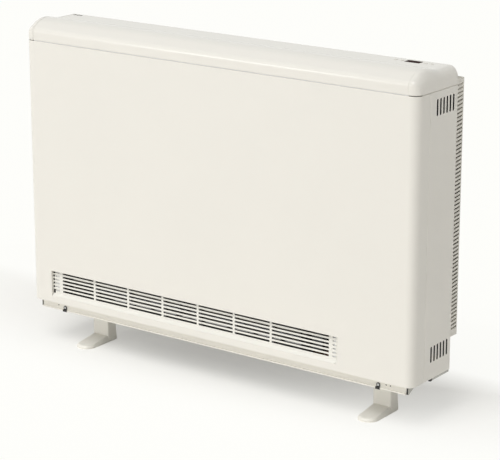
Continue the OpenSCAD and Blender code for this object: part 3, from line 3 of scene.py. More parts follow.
import bmesh
import bpy
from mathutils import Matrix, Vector


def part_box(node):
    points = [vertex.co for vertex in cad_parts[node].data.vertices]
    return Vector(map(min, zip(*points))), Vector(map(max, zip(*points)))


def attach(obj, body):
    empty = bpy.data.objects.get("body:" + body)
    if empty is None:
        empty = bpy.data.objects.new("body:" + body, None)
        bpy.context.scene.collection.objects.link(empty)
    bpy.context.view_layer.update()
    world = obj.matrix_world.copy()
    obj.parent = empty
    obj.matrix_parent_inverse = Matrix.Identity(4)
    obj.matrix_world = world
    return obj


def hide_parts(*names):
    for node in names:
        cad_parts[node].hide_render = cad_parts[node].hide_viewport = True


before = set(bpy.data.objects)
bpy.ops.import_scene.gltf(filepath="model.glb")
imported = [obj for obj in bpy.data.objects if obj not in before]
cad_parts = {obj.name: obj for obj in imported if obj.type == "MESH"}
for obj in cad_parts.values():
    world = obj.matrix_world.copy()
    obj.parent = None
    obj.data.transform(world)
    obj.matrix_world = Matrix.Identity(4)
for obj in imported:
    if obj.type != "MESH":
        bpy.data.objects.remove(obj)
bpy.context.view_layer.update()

# ------------------------------------------------------------------ storage bricks
# Dense iron-oxide bricks, pressed and fired, in two rows back to back with grooves for the
# elements. The dark speckle is iron grit in the fired body.

ROUGH_SWING = 0.05
LEAST_ROUGH = 0.02


def tone(red, green, blue):
    """Linear colour of a finish that reads red, green, blue out of 255 in daylight."""
    def one(value):
        value /= 255
        return value / 12.92 if value <= 0.04045 else ((value + 0.055) / 1.055) ** 2.4
    return (one(red), one(green), one(blue), 1)


def finish_step(tree, kind, values=None, fed=None, operation=None):
    """Adds one node to a finish or the sky, with its fixed values and what feeds its sockets."""
    step = tree.nodes.new("ShaderNode" + kind)
    if operation:
        step.operation = operation
    for socket, value in (values or {}).items():
        step.inputs[socket].default_value = value
    for socket, source in (fed or {}).items():
        tree.links.new(source, step.inputs[socket])
    return step


def surface(name, colour, rough, metallic=0.0, pattern="cloud", size=30.0, spread=0.05,
            grain=700.0, depth=0.00004, stretch=(1, 1, 1)):
    """A finish: a broad pattern in its colour, and a fine grain in its gloss and its relief."""
    material = bpy.data.materials.new(name)
    material.use_nodes = True
    tree = material.node_tree
    shader = tree.nodes["Principled BSDF"]
    shader.inputs["Metallic"].default_value = metallic
    place = finish_step(tree, "TexCoord")
    spun = finish_step(tree, "Mapping", {"Scale": stretch}, {"Vector": place.outputs["Object"]})
    along = {"Vector": spun.outputs["Vector"]}
    if pattern == "spangle":
        broad = finish_step(tree, "TexVoronoi", {"Scale": size}, along)
        reading = broad.outputs["Color"]
    else:
        detail = 6 if pattern == "speckle" else 3
        broad = finish_step(tree, "TexNoise", {"Scale": size, "Detail": detail}, along)
        reading = broad.outputs["Fac"]
    shades = finish_step(tree, "ValToRGB", fed={"Fac": reading})
    marks = (0.35, 0.65) if pattern == "speckle" else (0.2, 0.8)
    for shade, mark, factor in zip(shades.color_ramp.elements, marks, (1 - spread, 1 + spread)):
        shade.position = mark
        shade.color = [min(1, part * factor) for part in colour[:3]] + [1]
    fine = finish_step(tree, "TexNoise", {"Scale": grain, "Detail": 2}, along)
    gloss = finish_step(tree, "MapRange", {"To Min": max(LEAST_ROUGH, rough - ROUGH_SWING),
                                           "To Max": min(1, rough + ROUGH_SWING)},
                        {"Value": fine.outputs["Fac"]})
    relief = finish_step(tree, "Bump", {"Distance": depth}, {"Height": fine.outputs["Fac"]})
    for source, socket in ((shades.outputs["Color"], "Base Color"),
                           (gloss.outputs["Result"], "Roughness"),
                           (relief.outputs["Normal"], "Normal")):
        tree.links.new(source, shader.inputs[socket])
    return material


def coat_nodes(material, *nodes):
    """Gives CAD nodes their finish."""
    for node in nodes:
        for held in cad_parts[node].material_slots:
            held.link = "OBJECT"
            held.material = material


brick_body = surface("storage_brick", tone(122, 88, 76), 0.9, pattern="speckle", size=160,
                     spread=0.35, grain=900, depth=0.0002)
coat_nodes(brick_body, "front_bricks", "rear_bricks")

# ------------------------------------------------------------------ insulation boards
# Pressed mineral-fibre boards round the bricks, cut to size and butted together.
# They are matt, cream and faintly fibrous along their length.

board_fibre = surface("insulation_board", tone(226, 217, 196), 0.95, pattern="speckle", size=90,
                      spread=0.08, grain=500, depth=0.0003, stretch=(0.25, 1, 1))
for side in ("base", "front", "rear", "left", "right", "top"):
    coat_nodes(board_fibre, side + "_insulation")

# ------------------------------------------------------------------ heating elements
# Four hairpins of heat-dulled stainless tube, with white ceramic bushes where they leave the
# core and brass links across their studs. The boost hairpin, the terminal block and the earth
# stud are made of the same three materials.

sheath = surface("element_sheath", tone(150, 146, 140), 0.45, 1.0, size=25, spread=0.18,
                 stretch=(0.3, 1, 1))
steatite = surface("white_ceramic", tone(240, 236, 226), 0.55, size=60, spread=0.03)
brass = surface("terminal_brass", tone(214, 182, 104), 0.35, 1.0, size=80, spread=0.1)
coat_nodes(sheath, "heating_elements", "boost_element")
coat_nodes(steatite, "element_bushes", "terminal_block")
coat_nodes(brass, "element_links", "earth_stud")

# ------------------------------------------------------------------ core shelf, flap and duct
# The shelf, its legs, the partition and the damper flap are galvanised sheet, folded and
# spot-welded. Its zinc shows a dull spangle of crystals. The fan housing's zinc is much darker,
# painted shade for the inside seen through the grille's slots.

zinc = surface("zinc_sheet", tone(172, 171, 165), 0.48, 1.0, pattern="spangle", size=70,
               spread=0.12)
# The fan housing's darker zinc is painted shade, for the inside seen through the grille.
duct_zinc_painted_shade = surface("duct_zinc_painted_shade", tone(88, 89, 88), 0.65, 0.6, pattern="spangle", size=70,
                    spread=0.12)
coat_nodes(zinc, "core_shelf", "shelf_legs", "core_partition", "damper_flap")
coat_nodes(duct_zinc_painted_shade, "fan_housing")

# ------------------------------------------------------------------ fan and its motor
# A long cage of bent aluminium blades on a ground steel shaft, turned by a shaded-pole motor
# with a stack of steel laminations and a taped copper winding. It runs in two rubber bushes.

blade_strip = surface("fan_aluminium", tone(196, 198, 200), 0.4, 1.0, size=40, spread=0.05,
                      stretch=(0.2, 1, 1))
bright_steel = surface("bright_steel", tone(200, 202, 204), 0.22, 1.0, size=50, spread=0.04,
                       stretch=(1, 6, 6))
lamination = surface("motor_steel", tone(150, 152, 154), 0.5, 1.0, size=400, spread=0.2,
                     stretch=(4, 0.2, 0.2))
winding = surface("coil_copper", tone(196, 128, 84), 0.5, size=300, spread=0.15,
                  stretch=(3, 0.3, 0.3))
ring_rubber = surface("bearing_rubber", tone(52, 52, 52), 0.8, size=80, spread=0.1)
coat_nodes(blade_strip, "fan_impeller")
coat_nodes(bright_steel, "fan_shaft", "damper_spindle")
coat_nodes(lamination, "motor_stator", "motor_rotor")
coat_nodes(winding, "motor_coil")
coat_nodes(ring_rubber, "fan_bearing")

# ------------------------------------------------------------------ electrical bay
# Boards of green glass laminate, relays, switches, a gland and a damper motor in black
# mouldings, cream thermoset cut-out, standoffs and sensor, and a red reset button.

laminate = surface("circuit_board", tone(62, 130, 92), 0.4, pattern="speckle", size=120,
                   spread=0.2)
black_moulding = surface("black_plastic", tone(38, 38, 38), 0.5, size=60, spread=0.12,
                         grain=1500)
cream_moulding = surface("cream_plastic", tone(236, 230, 214), 0.45, size=60, spread=0.03)
red_moulding = surface("red_plastic", tone(186, 52, 44), 0.3, size=60, spread=0.04)
coat_nodes(laminate, "control_board", "display_board")
coat_nodes(black_moulding, "power_relays", "damper_motor", "outlet_cutout", "button_switches",
           "cable_gland")
coat_nodes(cream_moulding, "core_cutout", "board_standoffs", "room_sensor")
coat_nodes(red_moulding, "cutout_reset_button")

# ------------------------------------------------------------------ feet
# Two feet moulded in warm white plastic: an upright leg that tapers to its top, a mounting
# flange under the tray and a long low toe with a round end. Two screws come up through each.

FOOT_X = 0.3733
FOOT_HALF = 0.0227
LEG_HALF = 0.0217
LEG_Y = -0.0014
LEG_FOOT_D = 0.032
LEG_TOP_D = 0.0207
CORNER_R = 0.003
TRAY_Z = 0.0955
TOE_TIP_Y = -0.0724
TOE_BACK_Y = 0.022
TOE_SKIRT_Z = 0.003
TOE_TIP_Z = 0.0075
TOE_TOP_Z = 0.0155
TOE_SLOPE = 0.0035
TOE_R = 0.0016
TOE_TEST_Z = 0.007
TOE_FOLD = 0.4
TIP_FLAT = 0.0001
TIP_MERGE = 0.0003
FLANGE_Y = (-0.0221, 0.0399)
FLANGE_T = 0.004
FLANGE_R = 0.0006
NEAR = 0.00002
SMOOTH_ANGLE = math.radians(35)


def settle(name):
    """Names the primitive just added, and moves its place, turn and scale into its mesh."""
    piece = bpy.context.object
    piece.name = name
    piece.data.name = name
    bpy.ops.object.transform_apply(location=True, rotation=True, scale=True)
    return piece


def enter():
    """Opens the active piece in edit mode with nothing selected."""
    bpy.ops.object.mode_set(mode="EDIT")
    bpy.ops.mesh.select_all(action="DESELECT")


def leave():
    """Closes the open piece."""
    bpy.ops.object.mode_set(mode="OBJECT")


def begin(name, low, high):
    """Adds a block between two corners, and opens it in edit mode with nothing selected."""
    bpy.ops.object.select_all(action="DESELECT")
    bpy.ops.mesh.primitive_cube_add(size=1, location=[(a + b) / 2 for a, b in zip(low, high)],
                                    scale=[b - a for a, b in zip(low, high)])
    piece = settle(name)
    enter()
    return piece


def pick(kind, test):
    """Selects the faces, edges or corners of the open piece that pass the test."""
    bpy.ops.mesh.select_mode(type=kind)
    bpy.ops.mesh.select_all(action="DESELECT")
    shape = bmesh.from_edit_mesh(bpy.context.object.data)
    for item in {"VERT": shape.verts, "EDGE": shape.edges, "FACE": shape.faces}[kind]:
        if test(item):
            item.select_set(True)
    shape.select_flush_mode()
    bmesh.update_edit_mesh(bpy.context.object.data)


def shift(x=0, y=0, z=0):
    """Moves what is selected in the open piece."""
    bpy.ops.transform.translate(value=(x, y, z))


def split(place, way):
    """Cuts what is selected along the plane through a place that faces a way."""
    bpy.ops.mesh.bisect(plane_co=place, plane_no=way)


def centre(face):
    """Middle of a face."""
    return face.calc_center_median()


def mid(edge):
    """Middle of an edge."""
    return (edge.verts[0].co + edge.verts[1].co) / 2


def runs(edge, axis):
    """Whether an edge runs along axis 0, 1 or 2."""
    way = (edge.verts[1].co - edge.verts[0].co).normalized()
    return abs(way[axis]) > 0.999


def near(value, target):
    """Whether a corner or an edge lies where the piece was given its size."""
    return abs(value - target) < NEAR


def folded(edge, angle=0.0):
    """Whether two faces meet at an edge, at more than the angle in radians."""
    return len(edge.link_faces) == 2 and (not angle or edge.calc_face_angle() > angle)


def round_edges(radius, segments, test):
    """Bevels the edges that pass the test."""
    pick("EDGE", test)
    bpy.ops.mesh.bevel(offset=radius, offset_type="OFFSET", segments=segments, profile=0.5,
                       affect="EDGES")


def merge(within):
    """Merges the open piece's doubled corners."""
    bpy.ops.mesh.select_all(action="SELECT")
    bpy.ops.mesh.remove_doubles(threshold=within)


def alone(piece):
    """Selects one piece only and makes it the active one."""
    bpy.ops.object.select_all(action="DESELECT")
    piece.select_set(True)
    bpy.context.view_layer.objects.active = piece


def apply_new(piece, kind, **settings):
    """Adds one modifier with its settings and applies it."""
    alone(piece)
    added = piece.modifiers.new(kind.lower(), kind)
    for key, value in settings.items():
        setattr(added, key, value)
    bpy.ops.object.modifier_apply(modifier=added.name)


def join_all(pieces):
    """Joins loose pieces into the first of them."""
    alone(pieces[0])
    for piece in pieces[1:]:
        piece.select_set(True)
    bpy.ops.object.join()
    return pieces[0]


def copy_of(piece, name, along=0, flip=False):
    """Copies a finished piece with its own mesh, along the heater or mirrored to its other end."""
    other = piece.copy()
    other.data = piece.data.copy()
    other.name = name
    other.data.name = name
    bpy.context.collection.objects.link(other)
    alone(other)
    bpy.ops.object.mode_set(mode="EDIT")
    bpy.ops.mesh.select_all(action="SELECT")
    if flip:
        bpy.ops.transform.resize(value=(-1, 1, 1), center_override=(0, 0, 0))
        bpy.ops.mesh.flip_normals()
    else:
        shift(x=along)
    leave()
    return other


def dress(piece, material, node, body="casing"):
    """Finish, smooth shading and body of a piece that stands for a CAD node, and hides that node.
    A sheet that already has an outer and an inner finish keeps them."""
    alone(piece)
    if not piece.data.materials:
        piece.data.materials.append(material)
    bpy.ops.object.shade_smooth_by_angle(angle=SMOOTH_ANGLE)
    apply_new(piece, "WEIGHTED_NORMAL", keep_sharp=True, weight=80)
    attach(piece, body)
    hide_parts(node)


foot_moulding = surface("foot_plastic", tone(243, 240, 231), 0.42, size=10, spread=0.01,
                        grain=900, depth=0.00003)

leg = begin("left_foot_moulding", (-FOOT_X - LEG_HALF, LEG_Y, 0.0),
            (-FOOT_X + LEG_HALF, LEG_Y + LEG_FOOT_D, TRAY_Z))
pick("VERT", lambda v: v.co.y > LEG_FOOT_D / 2 and v.co.z > TRAY_Z / 2)
shift(y=LEG_TOP_D - LEG_FOOT_D)
round_edges(CORNER_R, 3, lambda e: abs(e.verts[0].co.z - e.verts[1].co.z) > TRAY_Z / 2)
leave()
toe = begin("toe", (-FOOT_X - FOOT_HALF, TOE_TIP_Y, 0.0),
            (-FOOT_X + FOOT_HALF, TOE_BACK_Y, TOE_SKIRT_Z))
round_edges(FOOT_HALF - TIP_FLAT, 10, lambda e: runs(e, 2) and mid(e).y < 0)
merge(TIP_MERGE)
pick("FACE", lambda f: f.normal.z > 0.9)
bpy.ops.mesh.inset(thickness=TOE_SLOPE, depth=TOE_TIP_Z - TOE_SKIRT_Z)
pick("FACE", lambda f: f.normal.z > 0.9 and centre(f).z > TOE_TEST_Z)
split((0, TOE_TIP_Y + FOOT_HALF - TIP_FLAT, 0), (0, 1, 0))
pick("VERT", lambda v: v.co.y > 0 and v.co.z > TOE_SKIRT_Z + 0.001)
shift(z=TOE_TOP_Z - TOE_TIP_Z + TOE_R)
round_edges(TOE_R, 3, lambda e: mid(e).z > TOE_TEST_Z and folded(e, TOE_FOLD))
leave()
flange = begin("foot_flange", (-FOOT_X - LEG_HALF, FLANGE_Y[0], TRAY_Z - FLANGE_T),
               (-FOOT_X + LEG_HALF, FLANGE_Y[1], TRAY_Z))
round_edges(CORNER_R, 3, lambda e: runs(e, 2))
round_edges(FLANGE_R, 2, lambda e: near(mid(e).z, TRAY_Z - FLANGE_T))
leave()
left_foot = join_all([leg, toe, flange])
right_foot = copy_of(left_foot, "right_foot_moulding", along=2 * FOOT_X)
dress(left_foot, foot_moulding, "left_foot")
dress(right_foot, foot_moulding, "right_foot")

# ------------------------------------------------------------------ base rail, its screws and clips
# A folded strip of enamelled steel across the front under the panel, with a lip at its foot.
# Two round-headed screws and two black spring clips hold the panel to it. Black plastic plugs
# close its ends and spare holes, and one sits between the tray and each side panel.

RAIL_HALF = 0.4755
RAIL_Y = -0.0756
RAIL_Z = 0.082
RAIL_TOP = 0.1135
RAIL_FOOT_D = 0.01
LIP_OUT = 0.003
LIP_H = 0.0024
FOLD_R = 0.0006
RAIL_R = 0.0007
FINE_R = 0.0003
SHEET = 0.0012
SCREW_X = 0.411
SCREW_Z = 0.0895
SHANK_R = 0.002
SHANK_L = 0.009
HEAD_R = 0.003
HEAD_H = 0.002
HEAD_ROUND = 0.0007
DRIVE_RIM = 0.0014
DRIVE_DEEP = 0.001
SCREW_HOLE_R = 0.0022
SPARE_XS = (0.429, 0.439, -0.431)
SPARE_UP = 0.003
SPARE_R = 0.0015
THROUGH = 0.02
CLIP_HALF = 0.005
CLIP_OFF = 0.0008
CLIP_IN = 0.0004
CLIP_T = 0.00078
WASHER_R = 0.0046
WASHER_HOLE_R = 0.00305
WASHER_T = 0.0016
PLUG_OUT = (0.0002, 0.0038)
PLUG_IN = (0.0014, 0.008)
PLUG_UP = 0.0004
PLUG_TOP = 0.0953
PLUG_R = 0.0006
TRAY_STOP_X = (0.489, 0.4946)
TRAY_STOP_Y = (-0.0155, -0.0083)
TRAY_STOP_Z = (0.0957, 0.1003)
TRAY_STOP_R = 0.0008
STOPPER_R = 0.00148
STOPPER_T = 0.0008
ACROSS = (math.pi / 2, 0, 0)

rail_enamel = surface("rail_enamel", tone(236, 233, 224), 0.45, size=6, spread=0.015,
                      grain=260, depth=0.00002)
zinc_screw = surface("zinc_screw", tone(196, 197, 196), 0.35, 1.0, size=200, spread=0.08)
black_clip = surface("clip_plastic", tone(28, 27, 26), 0.45, size=60, spread=0.12, grain=1500)


def draw_on(x=0, y=0, z=0):
    """Draws what is selected on into new faces."""
    bpy.ops.mesh.extrude_region_move(TRANSFORM_OT_translate={"value": (x, y, z)})


def face_out():
    """Turns all the open piece's faces outwards."""
    bpy.ops.mesh.select_all(action="SELECT")
    bpy.ops.mesh.normals_make_consistent(inside=False)


def strip(name, x0, x1, points):
    """A strip of sheet from x0 to x1: its first band is a plane, and its edge is then drawn on
    through the other points of the profile. Each point is a y and a z."""
    (y0, z0), (y1, z1) = points[0], points[1]
    bpy.ops.object.select_all(action="DESELECT")
    bpy.ops.mesh.primitive_plane_add(
        size=1, location=((x0 + x1) / 2, (y0 + y1) / 2, (z0 + z1) / 2),
        rotation=(math.atan2(z1 - z0, y1 - y0), 0, 0))
    bpy.context.object.scale = (x1 - x0, math.hypot(y1 - y0, z1 - z0), 1)
    piece = settle(name)
    bpy.ops.object.mode_set(mode="EDIT")
    pick("EDGE", lambda e: runs(e, 0) and near(mid(e).y, y1) and near(mid(e).z, z1))
    for (ya, za), (yb, zb) in zip(points[1:], points[2:]):
        draw_on(y=yb - ya, z=zb - za)
    bpy.ops.mesh.select_all(action="DESELECT")
    return piece


def punch(piece, tools):
    """Cuts the tools out of the piece and clears them away."""
    tool = join_all(tools)
    apply_new(piece, "BOOLEAN", operation="DIFFERENCE", solver="EXACT", object=tool)
    bpy.data.objects.remove(tool)


def drill(place, radius, length, turn=(0, 0, 0), sides=24, name="round_bar"):
    """A round bar, used as a tool for a hole or as the start of a turned piece."""
    bpy.ops.object.select_all(action="DESELECT")
    bpy.ops.mesh.primitive_cylinder_add(vertices=sides, radius=radius, depth=length,
                                        location=place, rotation=turn)
    return settle(name)


lip_y = RAIL_Y - LIP_OUT
rail = strip("base_rail", -RAIL_HALF, RAIL_HALF,
             [(RAIL_Y + RAIL_FOOT_D, RAIL_Z), (lip_y, RAIL_Z), (lip_y, RAIL_Z + LIP_H + FOLD_R),
              (RAIL_Y, RAIL_Z + LIP_H + FOLD_R), (RAIL_Y, RAIL_TOP)])
face_out()
round_edges(RAIL_R, 3, lambda e: runs(e, 0) and folded(e))
leave()
apply_new(rail, "SOLIDIFY", thickness=SHEET, offset=-1)
tools = [drill((side * SCREW_X, RAIL_Y, SCREW_Z), SCREW_HOLE_R, THROUGH, ACROSS)
         for side in (-1, 1)]
tools += [drill((x, RAIL_Y, SCREW_Z + SPARE_UP), SPARE_R, THROUGH, ACROSS, 16)
          for x in SPARE_XS]
punch(rail, tools)
dress(rail, rail_enamel, "front_base_rail")

screws = []
for x in (-SCREW_X, SCREW_X):
    screw = drill((x, RAIL_Y - HEAD_H / 2, SCREW_Z), HEAD_R, HEAD_H, ACROSS, 32,
                  "panel_screw_pair")
    bpy.ops.object.mode_set(mode="EDIT")
    pick("FACE", lambda f: f.normal.y < -0.9)
    bpy.ops.mesh.inset(thickness=DRIVE_RIM)
    draw_on(y=DRIVE_DEEP)
    round_edges(HEAD_ROUND, 3, lambda e: near(mid(e).y, RAIL_Y - HEAD_H) and
                math.hypot(mid(e).x - x, mid(e).z - SCREW_Z) > HEAD_R - FINE_R)
    leave()
    shank = drill((x, RAIL_Y + SHANK_L / 2, SCREW_Z), SHANK_R, SHANK_L, ACROSS, 16)
    screws += [screw, shank]
dress(join_all(screws), zinc_screw, "panel_screws")

clips = []
clip_low = RAIL_Z - CLIP_OFF
clip_high = RAIL_Z + LIP_H + CLIP_OFF
for side in (-1, 1):
    x = side * SCREW_X
    clip = strip("panel_clip_pair", x - CLIP_HALF, x + CLIP_HALF,
                 [(RAIL_Y - CLIP_IN, clip_low), (lip_y - CLIP_OFF, clip_low),
                  (lip_y - CLIP_OFF, clip_high), (RAIL_Y - CLIP_IN, clip_high)])
    face_out()
    round_edges(FOLD_R, 3, lambda e: runs(e, 0) and folded(e))
    leave()
    apply_new(clip, "SOLIDIFY", thickness=CLIP_T, offset=0)
    washer = drill((x, RAIL_Y - WASHER_T / 2, SCREW_Z), WASHER_R, WASHER_T, ACROSS, 32)
    bpy.ops.object.mode_set(mode="EDIT")
    round_edges(PLUG_R, 2, lambda e: near(mid(e).y, RAIL_Y - WASHER_T) and folded(e))
    leave()
    punch(washer, [drill((x, RAIL_Y, SCREW_Z), WASHER_HOLE_R, THROUGH, ACROSS, 32)])
    x0, x1 = sorted(side * (RAIL_HALF + out) for out in PLUG_OUT)
    plug = begin("rail_plug", (x0, RAIL_Y + PLUG_IN[0], RAIL_Z + PLUG_UP),
                 (x1, RAIL_Y + PLUG_IN[1], PLUG_TOP))
    round_edges(PLUG_R, 2, lambda e: runs(e, 2))
    leave()
    x0, x1 = sorted(side * end for end in TRAY_STOP_X)
    tray_stop = begin("tray_stop", (x0, TRAY_STOP_Y[0], TRAY_STOP_Z[0]),
                      (x1, TRAY_STOP_Y[1], TRAY_STOP_Z[1]))
    round_edges(TRAY_STOP_R, 2, lambda e: runs(e, 0))
    leave()
    clips += [clip, washer, plug, tray_stop]
for x in SPARE_XS:
    stopper = drill((x, RAIL_Y + STOPPER_T, SCREW_Z + SPARE_UP), STOPPER_R, STOPPER_T, ACROSS,
                    16)
    bpy.ops.object.mode_set(mode="EDIT")
    round_edges(FINE_R, 2, lambda e: near(mid(e).y, RAIL_Y + STOPPER_T / 2) and folded(e))
    leave()
    clips.append(stopper)
dress(join_all(clips), black_clip, "panel_clips")

# ------------------------------------------------------------------ front panel
# One sheet of zinc-coated steel, bent round both upright edges, with folded flanges at its top,
# foot and rear returns and an opening for the grille. Stove-enamelled in warm white, smooth
# semi-gloss.

HALF = 0.495
FRONT = -0.088
SEAM_Y = -0.042
BACK = 0.058
PANEL_Z0 = 0.1005
PANEL_Z1 = 0.6855
EDGE_R = 0.0185
EDGE_FOLD_R = 0.0012
SHARP = 1.2
FLANGE = 0.01
LOWER_FLANGE = 0.0124
OPENING_X = (-0.439, 0.319)
OPENING_Z = (0.116, 0.1735)
TURNED_IN = 0.0009
TURN_R = 0.0005

white_enamel = surface("white_enamel", tone(236, 233, 225), 0.34, size=4, spread=0.008,
                       grain=260, depth=0.00002)
# Dark primer for the sheets' inner skins. On the walls of cut slots and on the grille's bars it is
# painted shade.
primer_and_slot_shade = surface("primer_and_painted_slot_shade", tone(50, 47, 42), 0.8, size=40, spread=0.1)


def two_sided(piece, outside):
    """Gives a sheet its outer finish and the dark primer of its inner skin, before its wall is
    made. On the walls of cut slots that dark finish is painted shade.
    """
    piece.data.materials.append(outside)
    piece.data.materials.append(primer_and_slot_shade)


def make_wall(piece, thickness=SHEET, **settings):
    """Gives a two-sided sheet its thickness, with the second finish on its inner skin."""
    apply_new(piece, "SOLIDIFY", thickness=thickness, offset=-1, use_even_offset=True,
              material_offset=1, **settings)


def drop_faces(test):
    """Deletes the faces of the open piece that pass the test."""
    pick("FACE", test)
    bpy.ops.mesh.delete(type="FACE")


def on_front(face):
    """Whether a face is part of the panel's flat front."""
    return face.normal.y < -0.999 and centre(face).y < FRONT + 0.0001


def between(value, ends, margin=0.0):
    """Whether a value lies between two others."""
    return ends[0] - margin < value < ends[1] + margin


front = begin("front_sheet", (-HALF, FRONT, PANEL_Z0), (HALF, SEAM_Y, PANEL_Z1))
drop_faces(lambda f: f.normal.y > 0.9)
round_edges(EDGE_R, 10, lambda e: runs(e, 2) and near(mid(e).y, FRONT))
for way, wide in ((1, FLANGE), (-1, LOWER_FLANGE)):
    pick("FACE", lambda f: f.normal.z * way > 0.9)
    bpy.ops.mesh.inset(thickness=wide, use_boundary=False)
    bpy.ops.mesh.delete(type="FACE")
for side in (-1, 1):
    pick("EDGE", lambda e: runs(e, 2) and near(mid(e).y, SEAM_Y) and
         near(mid(e).x, side * HALF))
    draw_on(x=-side * FLANGE)
merge(NEAR / 2)
for x in OPENING_X:
    pick("FACE", on_front)
    split((x, 0, 0), (1, 0, 0))
for z in OPENING_Z:
    pick("FACE", lambda f: on_front(f) and between(centre(f).x, OPENING_X))
    split((0, 0, z), (0, 0, 1))
drop_faces(lambda f: on_front(f) and between(centre(f).x, OPENING_X) and
           between(centre(f).z, OPENING_Z))
pick("EDGE", lambda e: e.is_boundary and near(mid(e).y, FRONT))
draw_on(y=TURNED_IN)
round_edges(TURN_R, 3, lambda e: near(mid(e).y, FRONT) and folded(e, SHARP) and
            between(mid(e).x, OPENING_X, 0.001) and between(mid(e).z, OPENING_Z, 0.001))
round_edges(EDGE_FOLD_R, 3, lambda e: folded(e, SHARP) and
            (near(mid(e).z, PANEL_Z0) or near(mid(e).z, PANEL_Z1) or near(mid(e).y, SEAM_Y)))
leave()
two_sided(front, white_enamel)
make_wall(front)
dress(front, white_enamel, "front_panel")

# ------------------------------------------------------------------ side panels
# Narrow sheets of the same enamelled steel behind the front panel's returns, folded at the
# front, top and foot, with two groups of punched vent slots with round ends.

SIDE_Y = -0.0416
VENT_W = 0.0055
VENT_H = 0.0335
VENT_YS = [-0.016 + 0.012 * i for i in range(6)]
VENT_ZS = (0.136, 0.637)
VENT_DEEP = 0.004
VENT_END_R = VENT_W / 2 - 0.0001


def turn_inside(piece):
    """Gives what is selected in the open piece the second, dark finish: primer on an inner skin,
    painted shade on a slot tool or a grille bar.
    """
    piece.active_material_index = 1
    bpy.ops.object.material_slot_assign()


def paint_slot_shade(piece, outside):
    """Gives the whole open piece the dark second finish, which it leaves on what it cuts: painted
    shade on the walls of slots, and on the grille's bars.
    """
    two_sided(piece, outside)
    bpy.ops.mesh.select_all(action="SELECT")
    turn_inside(piece)
    leave()


right_side = begin("right_side_sheet", (HALF - FLANGE, SIDE_Y, PANEL_Z0),
                   (HALF, BACK, PANEL_Z1))
drop_faces(lambda f: f.normal.x < -0.9 or f.normal.y > 0.9)
round_edges(EDGE_FOLD_R, 3, folded)
leave()
two_sided(right_side, white_enamel)
make_wall(right_side)
slot_tools = []
for y in VENT_YS:
    for z in VENT_ZS:
        slot = begin("slot_tool", (HALF - VENT_DEEP, y - VENT_W / 2, z),
                     (HALF + VENT_DEEP, y + VENT_W / 2, z + VENT_H))
        round_edges(VENT_END_R, 5, lambda e: runs(e, 0))
        # The slot tools are dark all over, so the vents' cut walls take the dark finish: painted
        # shade in the vents.
        paint_slot_shade(slot, white_enamel)
        slot_tools.append(slot)
punch(right_side, slot_tools)
left_side = copy_of(right_side, "left_side_sheet", flip=True)
dress(right_side, white_enamel, "right_side_panel")
dress(left_side, white_enamel, "left_side_panel")

# ------------------------------------------------------------------ back panel and base tray
# A flat grey-enamelled back sheet, screwed to the side panels, with a hole for the cable gland.
# It stands on a galvanised tray that carries the whole core.

BACK_HALF = 0.4934
GLAND_X = 0.435
GLAND_Z = 0.1315
GLAND_HOLE_R = 0.009

grey_sheet = surface("grey_sheet", tone(212, 209, 200), 0.5, size=6, spread=0.02, grain=300,
                     depth=0.00003)

back = begin("back_sheet", (-BACK_HALF, BACK - SHEET, TRAY_Z), (BACK_HALF, BACK, PANEL_Z1))
two_sided(back, grey_sheet)
pick("FACE", lambda f: f.normal.y < -0.9)
turn_inside(back)
round_edges(FINE_R, 2, lambda e: near(mid(e).y, BACK))
leave()
punch(back, [drill((GLAND_X, BACK, GLAND_Z), GLAND_HOLE_R, THROUGH, ACROSS, 32)])
dress(back, grey_sheet, "back_panel")
coat_nodes(zinc, "base_tray")

# ------------------------------------------------------------------ outlet grille
# A white grille set back behind the panel's opening, over a sloping sill: seven groups of six
# long slots between narrow posts, with shallow bars behind them. The bars and the walls of the
# slots take the dark inner finish, painted shade in the slots. Its blank ends have short ribs
# and narrow gaps.

GRILLE_X = (-0.4393, 0.3193)
GRILLE_Z = (0.116, 0.1835)
FACE_Y = -0.0816
FACE_Z = 0.1215
RIM_Y = -0.0869
RIM = 0.004
GRILLE_D = 0.007
GRILLE_T = 0.001
GRILLE_R = 0.0002
GRILLE_BITE = 0.0002
SLOT_XS = [-0.4144 + 0.0944 * i for i in range(7)] + [0.2982]
SLOT_Z = 0.1266
SLOT_PITCH = 0.0082
SLOT_H = 0.0041
SLOT_LOWS = [SLOT_Z + row * SLOT_PITCH for row in range(6)]
POST = 0.0055
POST_R = 0.0005
RIB_IN = 0.0064
RIB_EASE = 0.0004
TOOL_OUT = 0.001
RIB_DEEP = 0.004
RIB_R = 0.0008
GAP_W = 0.0048
END_GAP_GAIN = 1.25
GAP_DEEP = 0.0017
SILL_GAP_X = (0.3125, 0.3165)
SILL_GAP_Z = (0.115, 0.1188)
SILL_GAP_DEEP = 0.002
BACKING_IN = 0.006
BACKING_Y = (0.0018, 0.0026)
BACKING_EASE = 0.001
BAR_D = 0.005
BAR_EASE = 0.0006
BAR_FALL = 0.0022

grille_enamel = surface("grille_enamel", tone(238, 236, 228), 0.36, size=6, spread=0.008,
                        grain=260, depth=0.00002)

